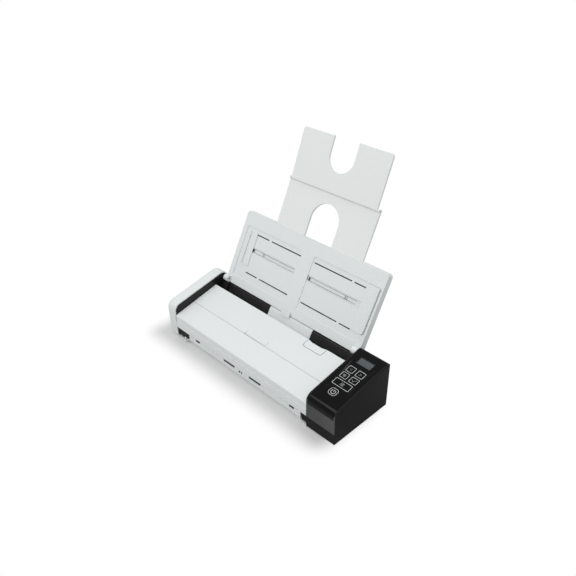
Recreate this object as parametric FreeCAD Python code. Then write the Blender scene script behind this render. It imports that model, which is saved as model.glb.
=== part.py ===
import FreeCAD, Part

import os
from math import acos, atan2, cos, hypot, pi, radians, sin, sqrt, tan

# Portable document scanner, in millimetres.
# X runs to the right, Y to the back, Z up. The origin is on the desk, under the middle of the body.

# Overall body
BODY_WIDTH = 318.0
BODY_DEPTH = 97.0
LEFT_CAP_WIDTH = 21.2
RIGHT_CAP_WIDTH = 44.4
FOOT_HEIGHT = 1.5
FRONT_HEIGHT = 51.7
TOP_SLOPE = 10.1
FRONT_TOP_RADIUS = 10.0
REAR_TOP_RADIUS = 10.5
LOW_EDGE_RADIUS = 2.5
LEFT_CAP_EDGE_RADIUS = 10.0
RIGHT_CAP_EDGE_RADIUS = 2.0
CAP_WALL = 1.7
SIDE_PLATE = 2.0
FIT_GAP = 0.1

# Base
BASE_WALL = 1.6
LIP_TOP = 18.2
LIP_LOW = 9.7
LIP_CHAMFER = 8.2
REAR_WALL_TOP = 47.0
REAR_LOW_RADIUS = 4.0
END_BLOCK_LEFT = 16.2
END_BLOCK_RIGHT = 3.5
END_BLOCK_SLANT = 10.1
NOTCH_LEFT = 28.0
NOTCH_RIM = 0.6
ARM_NOTCH_GAP = 0.5
ARM_NOTCH_DROP = 1.4
SLOT_WIDTH = 7.2
SLOT_HEIGHT = 4.0
SLOT_X = -2.9
SCREW_INSET = 30.0
SCREW_FRONT_Y = -28.0
SCREW_REAR_Y = 34.0
SCREW_RADIUS = 1.2
SCREW_HEAD_RADIUS = 2.6
SCREW_HEAD = 1.0
FOOT_RADIUS = 6.0
FOOT_INSET = 12.0

# Paper path between the bed and the cover
PATH_START_Z = 18.8
PATH_SLOPE = 13.0
GUIDE_SLOPE = 58.0
GUIDE_Y = 42.0
GUIDE_Z = 54.0
PATH_RADIUS = 22.0
HALF_PATH = 0.75
SKIN = 1.6
BED_END_Y = 34.0
BAR_LEFT = -125.0
BAR_RIGHT = 112.0
NOSE_RADIUS = 2.5
PICK_LEFT = -41.0
PICK_RIGHT = 37.5
PICK_SKIN = 2.2
TAB_LEFT = -20.0
TAB_RIGHT = -4.0
TAB_REACH = 3.8
TAB_THICKNESS = 1.2

# Cover
COVER_GAP = 0.5
COVER_WALL = 2.0
COVER_SLOPE = 12.5
COVER_FRONT_HEIGHT = 38.0
COVER_LOW_Z = 19.2
COVER_STEP_Z = 28.7
COVER_STEP = 0.8
COVER_FRONT_RADIUS = 2.0
COVER_SEAM_Y = -15.0
COVER_SEAM = 0.3
COVER_REAR_Y = 26.8
COVER_PIVOT_Y = -43.4
COVER_PIVOT_Z = 6.6
HINGE_BOSS_RADIUS = 3.2
HINGE_PIN_RADIUS = 1.5
ARM_WIDTH = 8.0
EAR_WIDTH = 2.4
EAR_GAP = 0.4
ARM_LEFT_X = -134.0
ARM_RIGHT_X = 105.2
SCOOP_X = -31.0
SCOOP_WIDTH = 40.0
SCOOP_LENGTH = 8.2
SCOOP_DEPTH = 1.2
BUTTON_X = 47.0
BUTTON_WIDTH = 31.0
BUTTON_Y = 14.5
BUTTON_SKIRT = 5.0
BUTTON_GAP = 0.35
BUTTON_TRAVEL = 1.5
BUTTON_CORNER = 3.0
BUTTON_WALL = 1.4
BUTTON_REAR_INSET = 0.8
BUTTON_HOLLOW = 1.6
BUTTON_SKIRT_GAP = 2.2
LATCH_SIZE = 4.0
LATCH_Y = 18.5
LATCH_DROP = -8.0
LATCH_EARS_X = (90.0, 104.0)
SCOOP_CORNER = 3.0

# Rollers, whose shafts start inside the left cap
SHAFT_LEFT = -141.0
SHAFT_RADIUS = 2.0
SHAFT_GAP = 0.05
BUSH_RADIUS = 3.6
BUSH_FLANGE = 4.6
BUSH_FLANGE_THICKNESS = 0.8
FEED_RADIUS = 7.9
FEED_TURN = 15.0
DRIVE_RADIUS = 4.95
DRIVE_Y = 5.0
EXIT_RADIUS = 4.6
EXIT_Y = -41.0
PINCH_RADIUS = 3.0
PINCH_AXLE_RADIUS = 1.0
ROLLER_GAP = 0.4
ROLLER_CENTRE_X = -0.5
FEED_TYRE = 22.0
FEED_TYRE_INNER = 4.0
TYRE_INNER = 13.5
TYRE_INNER_WIDTH = 22.5
TYRE_OUTER = 86.0
TYRE_OUTER_WIDTH = 9.0
TYRE_SLOT_GAP = 0.8
PAD_WIDTH = 44.0
PAD_THICKNESS = 2.0
PAD_GAP = 0.3
PAD_TURN = 10.0
PINCH_EARS_X = (-60.0, -0.5, 59.0)

# Gears
MODULE = 0.8
GEAR_WIDTH = 4.0
GEAR_X = 118.0
FEED_TEETH = 24
DRIVE_TEETH = 15
EXIT_TEETH = 14
LARGE_IDLER_TEETH = 49
SMALL_IDLER_TEETH = 12
PINION_TEETH = 12
MOTOR_TURN = 60.0
MOTOR_RADIUS = 11.0
MOTOR_LENGTH = 26.0
MOTOR_PLATE = 1.2
MOTOR_PLATE_GAP = 1.0
MOTOR_SPACER_TURNS = (-40.0, 45.0, 135.0)
LIGHTENING_HOLES = 6
LIGHTENING_RADIUS = 3.6
POST_RADIUS = 1.5
PRESSURE_ANGLE = 20.0
BACKLASH = 0.24

# Scan units
SCAN_WIDTH = 224.0
SCAN_DEPTH = 14.0
SCAN_HEIGHT = 10.0
LOWER_SCAN_Y = -15.0
UPPER_SCAN_Y = -8.0
GLASS_THICKNESS = 1.2
GLASS_DEPTH = 9.0

# Ribs under the bed, and the scan units' place along the rollers
SCAN_MIDDLE_X = -4.9
BED_RIB = 2.0
BED_RIBS_X = (-128.0, -60.0, 55.0, 104.0)
RIB_FRONT_Y = -36.0
RIB_REAR_Y = -28.0
GUIDE_TOP_GAP = 0.8
GUIDE_FOOT = 5.0

# Main board
BOARD_LEFT = -30.0
BOARD_RIGHT = 70.0
BOARD_FRONT = 2.0
BOARD_REAR = 42.0
BOARD_RISE = 3.0
BOARD_INSET = 4.0
BOARD_POST_RADIUS = 2.0
BOARD_CHIP = 12.0
BOARD_CHIPS_X = (-10.0, 20.0, 45.0)

# Sockets on the back of the right cap
SOCKET_WIDTH = 9.6
SOCKET_HEIGHT = 8.0
SOCKET_Z = 12.0
SOCKET_LENGTH = 10.0
DATA_SOCKET_X = 146.0
POWER_SOCKET_X = 128.0

# Control panel
PANEL_THICKNESS = 1.6
PANEL_LIP_Z = 40.0
LEDGE = 1.2
LEDGE_REAR_Y = 36.0
KEY_GAP = 0.3
KEY_TRAVEL = 0.5
KEY_THICKNESS = 1.6
KEY_RISE = 0.2
STEM_RADIUS = 1.2
STEM_LENGTH = 2.4
SWITCH_GAP = 0.1
SWITCH_SIZE = 4.0
SWITCH_HEIGHT = 1.2
BOARD_THICKNESS = 1.2
PANEL_BOARD_LEFT = 122.6
PANEL_BOARD_RIGHT = 155.0
LCD_LEFT = 125.7
LCD_RIGHT = 147.0
LCD_FRONT = 23.5
LCD_REAR = 34.5
LCD_HEIGHT = 2.4

# Paper tray in its own frame: x, u up along its face, h out of its face
TRAY_SLOPE = 60.7
TRAY_Y = 43.8
TRAY_Z = 55.4
TRAY_LEFT = -135.3
TRAY_RIGHT = 112.5
TRAY_LENGTH = 105.5
TRAY_THICKNESS = 9.0
TRAY_FOOT_THICKNESS = 10.4
TRAY_CORNER = 5.0
TRAY_FACE = 2.6
TRAY_PIVOT_Y = 43.2
TRAY_PIVOT_Z = 60.7
TRAY_BOSS_RADIUS = 4.6
TRAY_BOSS_WIDTH = 8.0
TRAY_PIN_RADIUS = 1.6
SHEET_PANEL_DEPTH = 0.9
SHEET_PANEL_LOW = 12.0
SHEET_PANEL_HIGH = 86.0
SHEET_PANEL_CORNER = 2.5
LEFT_PANEL = (-127.0, -23.0)
RIGHT_PANEL = (0.0, 109.5)
LINE_SLOT_WIDTH = 1.6
LINE_SLOT_DEPTH = 0.9
LINE_SLOTS_U = (23.5, 78.5)
LINE_SLOTS_X = ((-105.0, -82.0), (-77.0, -21.0), (3.0, 66.0), (70.0, 88.0))

# Paper guides with their racks
RACK_CHANNEL = (-116.5, 101.0)
RACK_MIDDLE_U = 56.5
RACK_MODULE = 0.5
RACK_PINION_TEETH = 8
RACK_PINION_X = -10.0
RACK_THICKNESS = 0.8
RACK_WIDTH = 2.4
RACK_GAP = 0.15
GUIDE_TRAVEL = 80.0
GUIDE_BASE = 1.0
FENCE_WIDTH = 2.4
FENCE_HEIGHT = 3.0
RIGHT_GUIDE = (89.2, 108.4, 24.0, 85.0)
LEFT_GUIDE = (-118.6, -104.8, 33.0, 80.0)
GUIDE_CORNER = 5.0

RACK_POST_RADIUS = 0.7
RACK_BACKLASH = 0.2
RACK_END = 5.0
RACK_ROOT = 10.0

# Extension plates
EYE_STEP = 0.3
EXT_TOP_CORNER = 4.0
PIN_SEAT = 3.0
TRAY_LIP = 1.2
TRAY_STEP = 0.6
UPPER_SIDE_GAP = 0.4
EXT_CENTRE_X = -4.9
EXT_WIDTH = 149.9
LOWER_LENGTH = 67.0
LOWER_THICKNESS = 2.6
LOWER_TILT = 2.7
LOWER_HINGE_U = 103.0
LOWER_HINGE_DEPTH = 3.45
LOWER_FACE_DEPTH = 1.4
LOWER_EYE_RADIUS = 1.7
LOWER_EYE_WIDTH = 7.0
EXT_PIN_RADIUS = 0.8
RECESS_GAP = 1.0
UPPER_HINGE = 65.8
UPPER_LENGTH = 66.5
UPPER_THICKNESS = 2.4
UPPER_AXIS_RISE = 2.0
UPPER_INSET = 3.4
UPPER_TILT = 3.9
UPPER_EAR_RADIUS = 1.5
UPPER_PIN_RADIUS = 0.6
EXT_CORNER = 1.5
ARCH_HALF_WIDTH = 23.5
ARCH_TOP = 51.0
NOTCH_HALF_WIDTH = 20.0
NOTCH_LOW = 24.5
LUG_WIDTH = 2.5

# Derived places
LEFT = -BODY_WIDTH / 2
RIGHT = BODY_WIDTH / 2
BAY_LEFT = LEFT + LEFT_CAP_WIDTH
BAY_RIGHT = RIGHT - RIGHT_CAP_WIDTH
FRONT = -BODY_DEPTH / 2
REAR = BODY_DEPTH / 2
LOW = FOOT_HEIGHT
COVER_LEFT = BAY_LEFT + COVER_GAP
COVER_RIGHT = BAY_RIGHT - COVER_GAP


def vec(x, y, z):
    return FreeCAD.Vector(x, y, z)


def corner_points(before, corner, after, radius):
    """Start, middle and end of the arc that rounds a corner."""
    to_before = (before[0] - corner[0], before[1] - corner[1])
    to_after = (after[0] - corner[0], after[1] - corner[1])
    length_before = hypot(*to_before)
    length_after = hypot(*to_after)
    one = (to_before[0] / length_before, to_before[1] / length_before)
    two = (to_after[0] / length_after, to_after[1] / length_after)
    half = acos(max(-1.0, min(1.0, one[0] * two[0] + one[1] * two[1]))) / 2
    reach = radius / tan(half)
    middle = (one[0] + two[0], one[1] + two[1])
    middle_length = hypot(*middle)
    sag = radius / sin(half) - radius
    return (
        (corner[0] + one[0] * reach, corner[1] + one[1] * reach),
        (corner[0] + middle[0] / middle_length * sag, corner[1] + middle[1] / middle_length * sag),
        (corner[0] + two[0] * reach, corner[1] + two[1] * reach),
    )


def outline(corners, place):
    """Closed face through corners given as (a, b) or (a, b, radius)."""
    edges = []
    count = len(corners)
    ends = []
    for index, corner in enumerate(corners):
        radius = corner[2] if len(corner) > 2 else 0.0
        if radius > 0.0:
            arc = corner_points(corners[index - 1], corner, corners[(index + 1) % count], radius)
        else:
            arc = (corner[:2],)
        ends.append(arc)
    for index, arc in enumerate(ends):
        if len(arc) > 1:
            edges.append(Part.Arc(place(*arc[0]), place(*arc[1]), place(*arc[2])).toShape())
        start = place(*arc[-1])
        stop = place(*ends[(index + 1) % count][0])
        if start.distanceToPoint(stop) > 1e-6:
            edges.append(Part.makeLine(start, stop))
    return Part.Face(Part.Wire(edges))


def prism_x(corners, x0, x1):
    """Solid from a side view outline (y, z)."""
    return outline(corners, lambda a, b: vec(x0, a, b)).extrude(vec(x1 - x0, 0, 0))


def prism_y(corners, y0, y1, rise=0.0):
    """Solid from a front view outline (x, z), which may climb towards the back."""
    return outline(corners, lambda a, b: vec(a, y0, b)).extrude(vec(0, y1 - y0, rise))


def prism_z(corners, z0, z1):
    """Solid from a plan outline (x, y)."""
    return outline(corners, lambda a, b: vec(a, b, z0)).extrude(vec(0, 0, z1 - z0))


def rect(a0, a1, b0, b1, radius=0.0):
    return [(a0, b0, radius), (a1, b0, radius), (a1, b1, radius), (a0, b1, radius)]


def box(x0, x1, y0, y1, z0, z1):
    return Part.makeBox(x1 - x0, y1 - y0, z1 - z0, vec(x0, y0, z0))


def rod_x(y, z, radius, x0, x1):
    return Part.makeCylinder(radius, x1 - x0, vec(x0, y, z), vec(1, 0, 0))


def rod_z(x, y, radius, z0, z1):
    return Part.makeCylinder(radius, z1 - z0, vec(x, y, z0))


def joined(shapes):
    """One solid from pieces that touch or overlap."""
    if len(shapes) == 1:
        return shapes[0]
    return shapes[0].multiFuse(shapes[1:]).removeSplitter()


def group(shapes):
    """Separate solids kept together."""
    return Part.makeCompound(shapes)


def turned(shape, slope, y, z):
    """Shape made flat at the origin, tilted about X by slope degrees and moved to (y, z)."""
    moved = shape.copy()
    moved.rotate(vec(0, 0, 0), vec(1, 0, 0), slope)
    moved.translate(vec(0, y, z))
    return moved


def save(name, shape):
    shape.exportStep(os.path.join("parts", name + ".step"))


def cap_profile(inset):
    """Side view outline of an end cap, drawn in by inset."""
    top_inset = inset / cos(radians(TOP_SLOPE))
    climb = tan(radians(TOP_SLOPE))
    front_top = FRONT_HEIGHT + inset * climb - top_inset
    rear_top = FRONT_HEIGHT + (BODY_DEPTH - inset) * climb - top_inset
    low_radius = max(LOW_EDGE_RADIUS - inset, 0.4)
    return [
        (FRONT + inset, LOW + inset, low_radius),
        (FRONT + inset, front_top, FRONT_TOP_RADIUS - inset),
        (REAR - inset, rear_top, REAR_TOP_RADIUS - inset),
        (REAR - inset, LOW + inset, low_radius),
    ]


def cap_block(outer_x, inner_x, inset, edge_radius):
    """End cap form: the side view, with its outer edges rounded from above and from the front."""
    side = 1 if outer_x > inner_x else -1
    face_x = outer_x - side * inset
    radius = max(edge_radius - inset, 0.5)
    body = prism_x(cap_profile(inset), min(face_x, inner_x), max(face_x, inner_x))
    climb = tan(radians(TOP_SLOPE))
    top_inset = inset / cos(radians(TOP_SLOPE))
    front_top = FRONT_HEIGHT - top_inset
    deep = -BODY_DEPTH
    upper = prism_y(
        [(face_x, deep), (face_x, front_top, radius), (inner_x, front_top), (inner_x, deep)],
        FRONT, REAR, BODY_DEPTH * climb)
    lower = prism_y(
        [(face_x, LOW + inset, radius), (face_x, BODY_DEPTH), (inner_x, BODY_DEPTH), (inner_x, LOW + inset)],
        FRONT, REAR)
    plan = prism_z(
        [(face_x, FRONT + inset, radius), (face_x, REAR - inset, radius),
         (inner_x, REAR - inset), (inner_x, FRONT + inset)],
        0.0, BODY_DEPTH)
    return body.common(upper).common(lower).common(plan)


def path_point(run, offset):
    """Point of the flat part of the paper path, run along it from the front and offset above it."""
    slope = radians(PATH_SLOPE)
    y = FRONT + run * cos(slope) - offset * sin(slope)
    z = PATH_START_Z + run * sin(slope) + offset * cos(slope)
    return (y, z)


def guide_point(run, offset):
    """Point of the steep part of the paper path, run up along it and offset in front of it."""
    slope = radians(GUIDE_SLOPE)
    y = GUIDE_Y + run * cos(slope) - offset * sin(slope)
    z = GUIDE_Z + run * sin(slope) + offset * cos(slope)
    return (y, z)


def meeting(point_a, slope_a, point_b, slope_b):
    """Crossing of two lines given by a point and a slope in degrees."""
    ca, sa = cos(radians(slope_a)), sin(radians(slope_a))
    cb, sb = cos(radians(slope_b)), sin(radians(slope_b))
    run = ((point_b[0] - point_a[0]) * sb - (point_b[1] - point_a[1]) * cb) / (ca * sb - sa * cb)
    return (point_a[0] + run * ca, point_a[1] + run * sa)


def path_corner(offset):
    corner = meeting(path_point(0, offset), PATH_SLOPE, guide_point(0, offset), GUIDE_SLOPE)
    return (corner[0], corner[1], PATH_RADIUS - offset)


def on_path(shape, run):
    """Shape made flat at the origin, laid on the flat part of the path."""
    y, z = path_point(run, 0.0)
    return turned(shape, PATH_SLOPE, y, z)


def run_at(y):
    return (y - FRONT) / cos(radians(PATH_SLOPE))


def cover_z(y):
    """Height of the cover's top plane."""
    return COVER_FRONT_HEIGHT + (y - FRONT) * tan(radians(COVER_SLOPE))


def skin(x0, x1, upper_offset, lower_offset, y0, y1):
    """Sheet that follows the paper path between two offsets, from y0 back to y1."""
    reach = BODY_DEPTH
    corners = [
        path_point(0, upper_offset),
        path_corner(upper_offset),
        guide_point(reach, upper_offset),
        guide_point(reach, lower_offset),
        path_corner(lower_offset),
        path_point(0, lower_offset),
    ]
    return prism_x(corners, x0, x1).common(box(x0, x1, y0, y1, LOW, BODY_DEPTH * 2))


def arc_point(turn, radius):
    """Point seen from the path bend's centre, turn degrees behind straight down."""
    bend = path_corner(0.0)
    half = radians(GUIDE_SLOPE - PATH_SLOPE) / 2
    reach = PATH_RADIUS * tan(half)
    slope = radians(PATH_SLOPE)
    y = bend[0] - reach * cos(slope) - PATH_RADIUS * sin(slope)
    z = bend[1] - reach * sin(slope) + PATH_RADIUS * cos(slope)
    return (y + radius * sin(radians(turn)), z - radius * cos(radians(turn)))


FEED_AXIS = arc_point(FEED_TURN, PATH_RADIUS + FEED_RADIUS)
DRIVE_AXIS = path_point(run_at(DRIVE_Y), -DRIVE_RADIUS)
EXIT_AXIS = path_point(run_at(EXIT_Y), -EXIT_RADIUS)


def beyond(start, through, distance):
    """Point at a distance from start, on the line through a second point."""
    length = hypot(through[0] - start[0], through[1] - start[1])
    return (
        start[0] + (through[0] - start[0]) * distance / length,
        start[1] + (through[1] - start[1]) * distance / length,
    )


COVER_PIVOT = (COVER_PIVOT_Y, COVER_PIVOT_Z)
EXIT_REACH = hypot(EXIT_AXIS[0] - COVER_PIVOT_Y, EXIT_AXIS[1] - COVER_PIVOT_Z) + EXIT_RADIUS + ROLLER_GAP
EXIT_PINCH_AXIS = beyond(COVER_PIVOT, EXIT_AXIS, EXIT_REACH + PINCH_RADIUS)
DRIVE_PINCH_AXIS = path_point(run_at(DRIVE_Y), PINCH_RADIUS + ROLLER_GAP)


def idler_axis(axis_a, reach_a, axis_b, reach_b, side):
    """Axis at given distances from two others, on the upper (1) or lower (-1) side."""
    span = hypot(axis_b[0] - axis_a[0], axis_b[1] - axis_a[1])
    along = (reach_a ** 2 - reach_b ** 2 + span ** 2) / (2 * span)
    off = sqrt(max(reach_a ** 2 - along ** 2, 0.0)) * side
    uy, uz = (axis_b[0] - axis_a[0]) / span, (axis_b[1] - axis_a[1]) / span
    return (axis_a[0] + uy * along - uz * off, axis_a[1] + uz * along + uy * off)


def pitch_radius(teeth):
    return MODULE * teeth / 2


LARGE_IDLER_AXIS = idler_axis(
    EXIT_AXIS, pitch_radius(EXIT_TEETH) + pitch_radius(LARGE_IDLER_TEETH),
    DRIVE_AXIS, pitch_radius(DRIVE_TEETH) + pitch_radius(LARGE_IDLER_TEETH), 1)
SMALL_IDLER_AXIS = idler_axis(
    DRIVE_AXIS, pitch_radius(DRIVE_TEETH) + pitch_radius(SMALL_IDLER_TEETH),
    FEED_AXIS, pitch_radius(FEED_TEETH) + pitch_radius(SMALL_IDLER_TEETH), -1)
MOTOR_REACH = pitch_radius(FEED_TEETH) + pitch_radius(PINION_TEETH)
MOTOR_AXIS = (
    FEED_AXIS[0] + MOTOR_REACH * cos(radians(MOTOR_TURN)),
    FEED_AXIS[1] + MOTOR_REACH * sin(radians(MOTOR_TURN)),
)


def tyre_spans():
    """X spans of the rubber tyres that show in the front windows."""
    spans = []
    for side in (-1, 1):
        for inner, width in ((TYRE_INNER, TYRE_INNER_WIDTH), (TYRE_OUTER, TYRE_OUTER_WIDTH)):
            near = ROLLER_CENTRE_X + side * inner
            far = near + side * width
            spans.append((min(near, far), max(near, far)))
    return sorted(spans)


def feed_spans():
    spans = []
    for side in (-1, 1):
        near = ROLLER_CENTRE_X + side * FEED_TYRE_INNER
        far = near + side * FEED_TYRE
        spans.append((min(near, far), max(near, far)))
    return sorted(spans)


def base_shell():
    """White lower casing: an open trough with the front lip, the end blocks and the arm notches."""
    corners = [
        (FRONT, LIP_TOP),
        (FRONT, LIP_LOW),
        (FRONT + LIP_CHAMFER, LOW),
        (REAR, LOW, REAR_LOW_RADIUS),
        (REAR, REAR_WALL_TOP),
    ]
    inside = [
        (FRONT + BASE_WALL, BODY_DEPTH),
        (FRONT + BASE_WALL, LIP_LOW + BASE_WALL / 2),
        (FRONT + LIP_CHAMFER + BASE_WALL / 2, LOW + BASE_WALL),
        (REAR - BASE_WALL, LOW + BASE_WALL, REAR_LOW_RADIUS - BASE_WALL),
        (REAR - BASE_WALL, BODY_DEPTH),
    ]
    trough = prism_x(corners, BAY_LEFT, BAY_RIGHT)
    left_end = BAY_LEFT + END_BLOCK_LEFT
    right_end = BAY_RIGHT - END_BLOCK_RIGHT
    block_depth = LIP_CHAMFER + BASE_WALL
    left_block = prism_y(
        [(BAY_LEFT, LOW), (left_end, LOW), (left_end + END_BLOCK_SLANT, LIP_LOW),
         (left_end + END_BLOCK_SLANT, LIP_TOP), (BAY_LEFT, LIP_TOP)],
        FRONT, FRONT + block_depth)
    right_block = prism_y(
        [(BAY_RIGHT, LOW), (right_end, LOW), (right_end - END_BLOCK_SLANT, LIP_LOW),
         (right_end - END_BLOCK_SLANT, LIP_TOP), (BAY_RIGHT, LIP_TOP)],
        FRONT, FRONT + block_depth)
    shell = joined([trough, left_block, right_block])
    hollow = prism_x(inside, BAY_LEFT, BAY_RIGHT)
    wells = [
        box(BAY_LEFT, left_end + BASE_WALL, FRONT + BASE_WALL, FRONT + block_depth, LOW + BASE_WALL, LIP_TOP + 1),
        box(right_end - END_BLOCK_SLANT, BAY_RIGHT, FRONT + BASE_WALL, FRONT + block_depth,
            LOW + BASE_WALL, LIP_TOP + 1),
    ]
    shell = shell.cut([hollow] + wells)
    left_notch = prism_y(
        [(BAY_LEFT, LIP_TOP + 1), (BAY_LEFT + NOTCH_LEFT, LIP_TOP + 1), (BAY_LEFT + NOTCH_LEFT, LIP_LOW + 2.3),
         (left_end + END_BLOCK_SLANT - 2.4, LIP_LOW - 1.2), (left_end, LOW + NOTCH_RIM + BASE_WALL),
         (BAY_LEFT, LOW + NOTCH_RIM + BASE_WALL - 1.0)],
        FRONT - 1, FRONT + block_depth)
    right_notch = prism_y(
        [(BAY_RIGHT, LIP_TOP + 1), (ARM_RIGHT_X - ARM_NOTCH_GAP, LIP_TOP + 1),
         (ARM_RIGHT_X - ARM_NOTCH_GAP, COVER_PIVOT_Z - ARM_NOTCH_DROP), (right_end, LOW + NOTCH_RIM + BASE_WALL),
         (BAY_RIGHT, LOW + NOTCH_RIM + BASE_WALL)],
        FRONT - 1, FRONT + block_depth)
    shell = shell.cut(left_notch).cut(right_notch)
    for x0, x1 in tyre_spans():
        window = box(x0 + 0.3, x1 - 0.3, FRONT - 1, FRONT + BASE_WALL + 0.1, LIP_TOP - 3.6, LIP_TOP + 1)
        shell = shell.cut(window)
    slot = prism_y(
        rect(SLOT_X - SLOT_WIDTH / 2, SLOT_X + SLOT_WIDTH / 2, LIP_TOP - 1.2 - SLOT_HEIGHT, LIP_TOP - 1.2, 1.0),
        FRONT - 1, FRONT + BASE_WALL / 2)
    ears = []
    for x in (ARM_LEFT_X + ARM_WIDTH + EAR_GAP, ARM_RIGHT_X - EAR_GAP - EAR_WIDTH):
        ear = box(x, x + EAR_WIDTH, COVER_PIVOT_Y - EAR_WIDTH, COVER_PIVOT_Y + EAR_WIDTH,
                  LOW + BASE_WALL / 2, COVER_PIVOT_Z + EAR_WIDTH)
        ears.append(ear.cut(rod_x(COVER_PIVOT_Y, COVER_PIVOT_Z, HINGE_PIN_RADIUS, x, x + EAR_WIDTH)))
    holes = [rod_z(x, y, SCREW_RADIUS, 0.0, LOW + 2 * BASE_WALL) for x, y in screw_places()]
    return joined([shell.cut([slot] + holes)] + ears)


def screw_places():
    return [(x, y) for x in (BAY_LEFT + SCREW_INSET, BAY_RIGHT - SCREW_INSET) for y in (SCREW_FRONT_Y, SCREW_REAR_Y)]


def shaft_holes(x0, x1, radius):
    """Cutters for the three roller shafts through a side plate."""
    return [rod_x(axis[0], axis[1], radius, x0, x1) for axis in (FEED_AXIS, DRIVE_AXIS, EXIT_AXIS)]


def left_end_cap():
    """White end cap, hollow and open towards the cover."""
    cap = cap_block(LEFT, BAY_LEFT, 0.0, LEFT_CAP_EDGE_RADIUS)
    inside = cap_block(LEFT, BAY_LEFT, CAP_WALL, LEFT_CAP_EDGE_RADIUS)
    return cap.cut(inside)


def side_plate(x0, x1):
    """Black inner wall of an end cap, with the bush holes and the holes for its hinge pins."""
    plate = prism_x(cap_profile(CAP_WALL + FIT_GAP), x0, x1)
    cutters = shaft_holes(x0, x1, BUSH_RADIUS)
    cutters.append(rod_x(TRAY_PIVOT_Y, TRAY_PIVOT_Z, TRAY_PIN_RADIUS, x0, x1))
    cutters.append(rod_x(COVER_PIVOT_Y, COVER_PIVOT_Z, HINGE_PIN_RADIUS, x0, x1))
    if x0 > 0:
        cutters.append(latch_bar(x0, x1, COVER_GAP))
    return plate.cut(cutters)


def left_side_plate():
    return side_plate(BAY_LEFT - SIDE_PLATE, BAY_LEFT)


def right_side_plate():
    plate = side_plate(BAY_RIGHT, BAY_RIGHT + SIDE_PLATE)
    return plate.cut(panel_ledges())


def panel_region(inset):
    """Space above the control panel's underside, from the front rounding to the rear rounding."""
    low = cap_block(RIGHT, BAY_RIGHT, inset, RIGHT_CAP_EDGE_RADIUS)
    above = box(BAY_RIGHT - 1, RIGHT + 1, FRONT - 1, REAR + 1, PANEL_LIP_Z, BODY_DEPTH)
    return above.cut(low)


def panel_slope_place(y):
    """Height of the right cap's top at y."""
    return FRONT_HEIGHT + (y - FRONT) * tan(radians(TOP_SLOPE))


KEYS = (
    ("left_key", 124.3, 134.8, 6.8, 16.5, 1.2),
    ("right_key", 138.2, 149.2, 6.8, 16.5, 1.2),
    ("mode_key", 124.3, 134.8, -4.2, 4.8, 1.2),
    ("confirm_key", 138.2, 149.2, -4.2, 4.8, 1.2),
    ("start_key", 124.0, 148.8, -16.6, -6.6, 1.2),
    ("power_key", 129.7, 141.3, -31.0, -20.3, 3.6),
)


def in_panel(shape, y):
    """Shape made flat at the origin, laid on the panel's sloping top at y."""
    return turned(shape, TOP_SLOPE, y, panel_slope_place(y))


def key_plan(key, gap):
    """Outline of a key in the panel's plane, measured from the key's front edge."""
    name, x0, x1, y0, y1, radius = key
    length = (y1 - y0) / cos(radians(TOP_SLOPE))
    return rect(x0 - gap, x1 + gap, -gap, length + gap, radius + gap)


def panel_key(key):
    """Flat key with its stem, which ends just above its switch."""
    name, x0, x1, y0, y1, radius = key
    plate = prism_z(key_plan(key, 0.0), -KEY_THICKNESS, KEY_RISE)
    flange = prism_z(key_plan(key, KEY_GAP * 2), -KEY_THICKNESS * 2, -PANEL_THICKNESS - KEY_GAP)
    length = (y1 - y0) / cos(radians(TOP_SLOPE))
    stem = rod_z((x0 + x1) / 2, length / 2, STEM_RADIUS, -KEY_THICKNESS * 2 - STEM_LENGTH, -KEY_THICKNESS * 2)
    body = prism_z(key_plan(key, 0.0), -PANEL_THICKNESS - KEY_GAP, -KEY_THICKNESS)
    return in_panel(joined([plate, body, flange, stem]), y0)


def control_panel():
    """Glossy black plate over the right cap, with its key holes and the display opening."""
    outer = cap_block(RIGHT, BAY_RIGHT, 0.0, RIGHT_CAP_EDGE_RADIUS)
    edge = box(BAY_RIGHT + CAP_WALL, RIGHT - RIGHT_CAP_EDGE_RADIUS, FRONT - 1, REAR + 1, PANEL_LIP_Z, BODY_DEPTH)
    panel = outer.common(edge).common(panel_region(PANEL_THICKNESS))
    rear_foot = box(LEFT, RIGHT, REAR - CAP_WALL * 2, REAR + 1, LOW, BODY_DEPTH * 2)
    panel = panel.cut(rear_foot)
    cutters = []
    for key in KEYS:
        cutters.append(in_panel(prism_z(key_plan(key, KEY_GAP), -PANEL_THICKNESS * 2, PANEL_THICKNESS), key[3]))
    cutters.append(in_panel(lcd_plan(FIT_GAP, -PANEL_THICKNESS * 2, PANEL_THICKNESS), LCD_FRONT))
    return panel.cut(cutters)


def lcd_plan(gap, z0, z1):
    length = (LCD_REAR - LCD_FRONT) / cos(radians(TOP_SLOPE))
    return prism_z(rect(LCD_LEFT - gap, LCD_RIGHT + gap, -gap, length + gap), z0, z1)


def panel_ledges():
    """Two strips inside the right cap's top that the control panel rests on."""
    layer = cap_block(RIGHT, BAY_RIGHT, PANEL_THICKNESS, RIGHT_CAP_EDGE_RADIUS)
    layer = layer.cut(cap_block(RIGHT, BAY_RIGHT, PANEL_THICKNESS + LEDGE, RIGHT_CAP_EDGE_RADIUS))
    strips = []
    for x0, x1 in ((BAY_RIGHT, GEAR_X - LEDGE / 4), (RIGHT - RIGHT_CAP_EDGE_RADIUS - LEDGE, RIGHT - CAP_WALL / 2)):
        strips.append(layer.common(box(x0, x1, FRONT - 1, LEDGE_REAR_Y, PANEL_LIP_Z, BODY_DEPTH)))
    return strips


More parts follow.
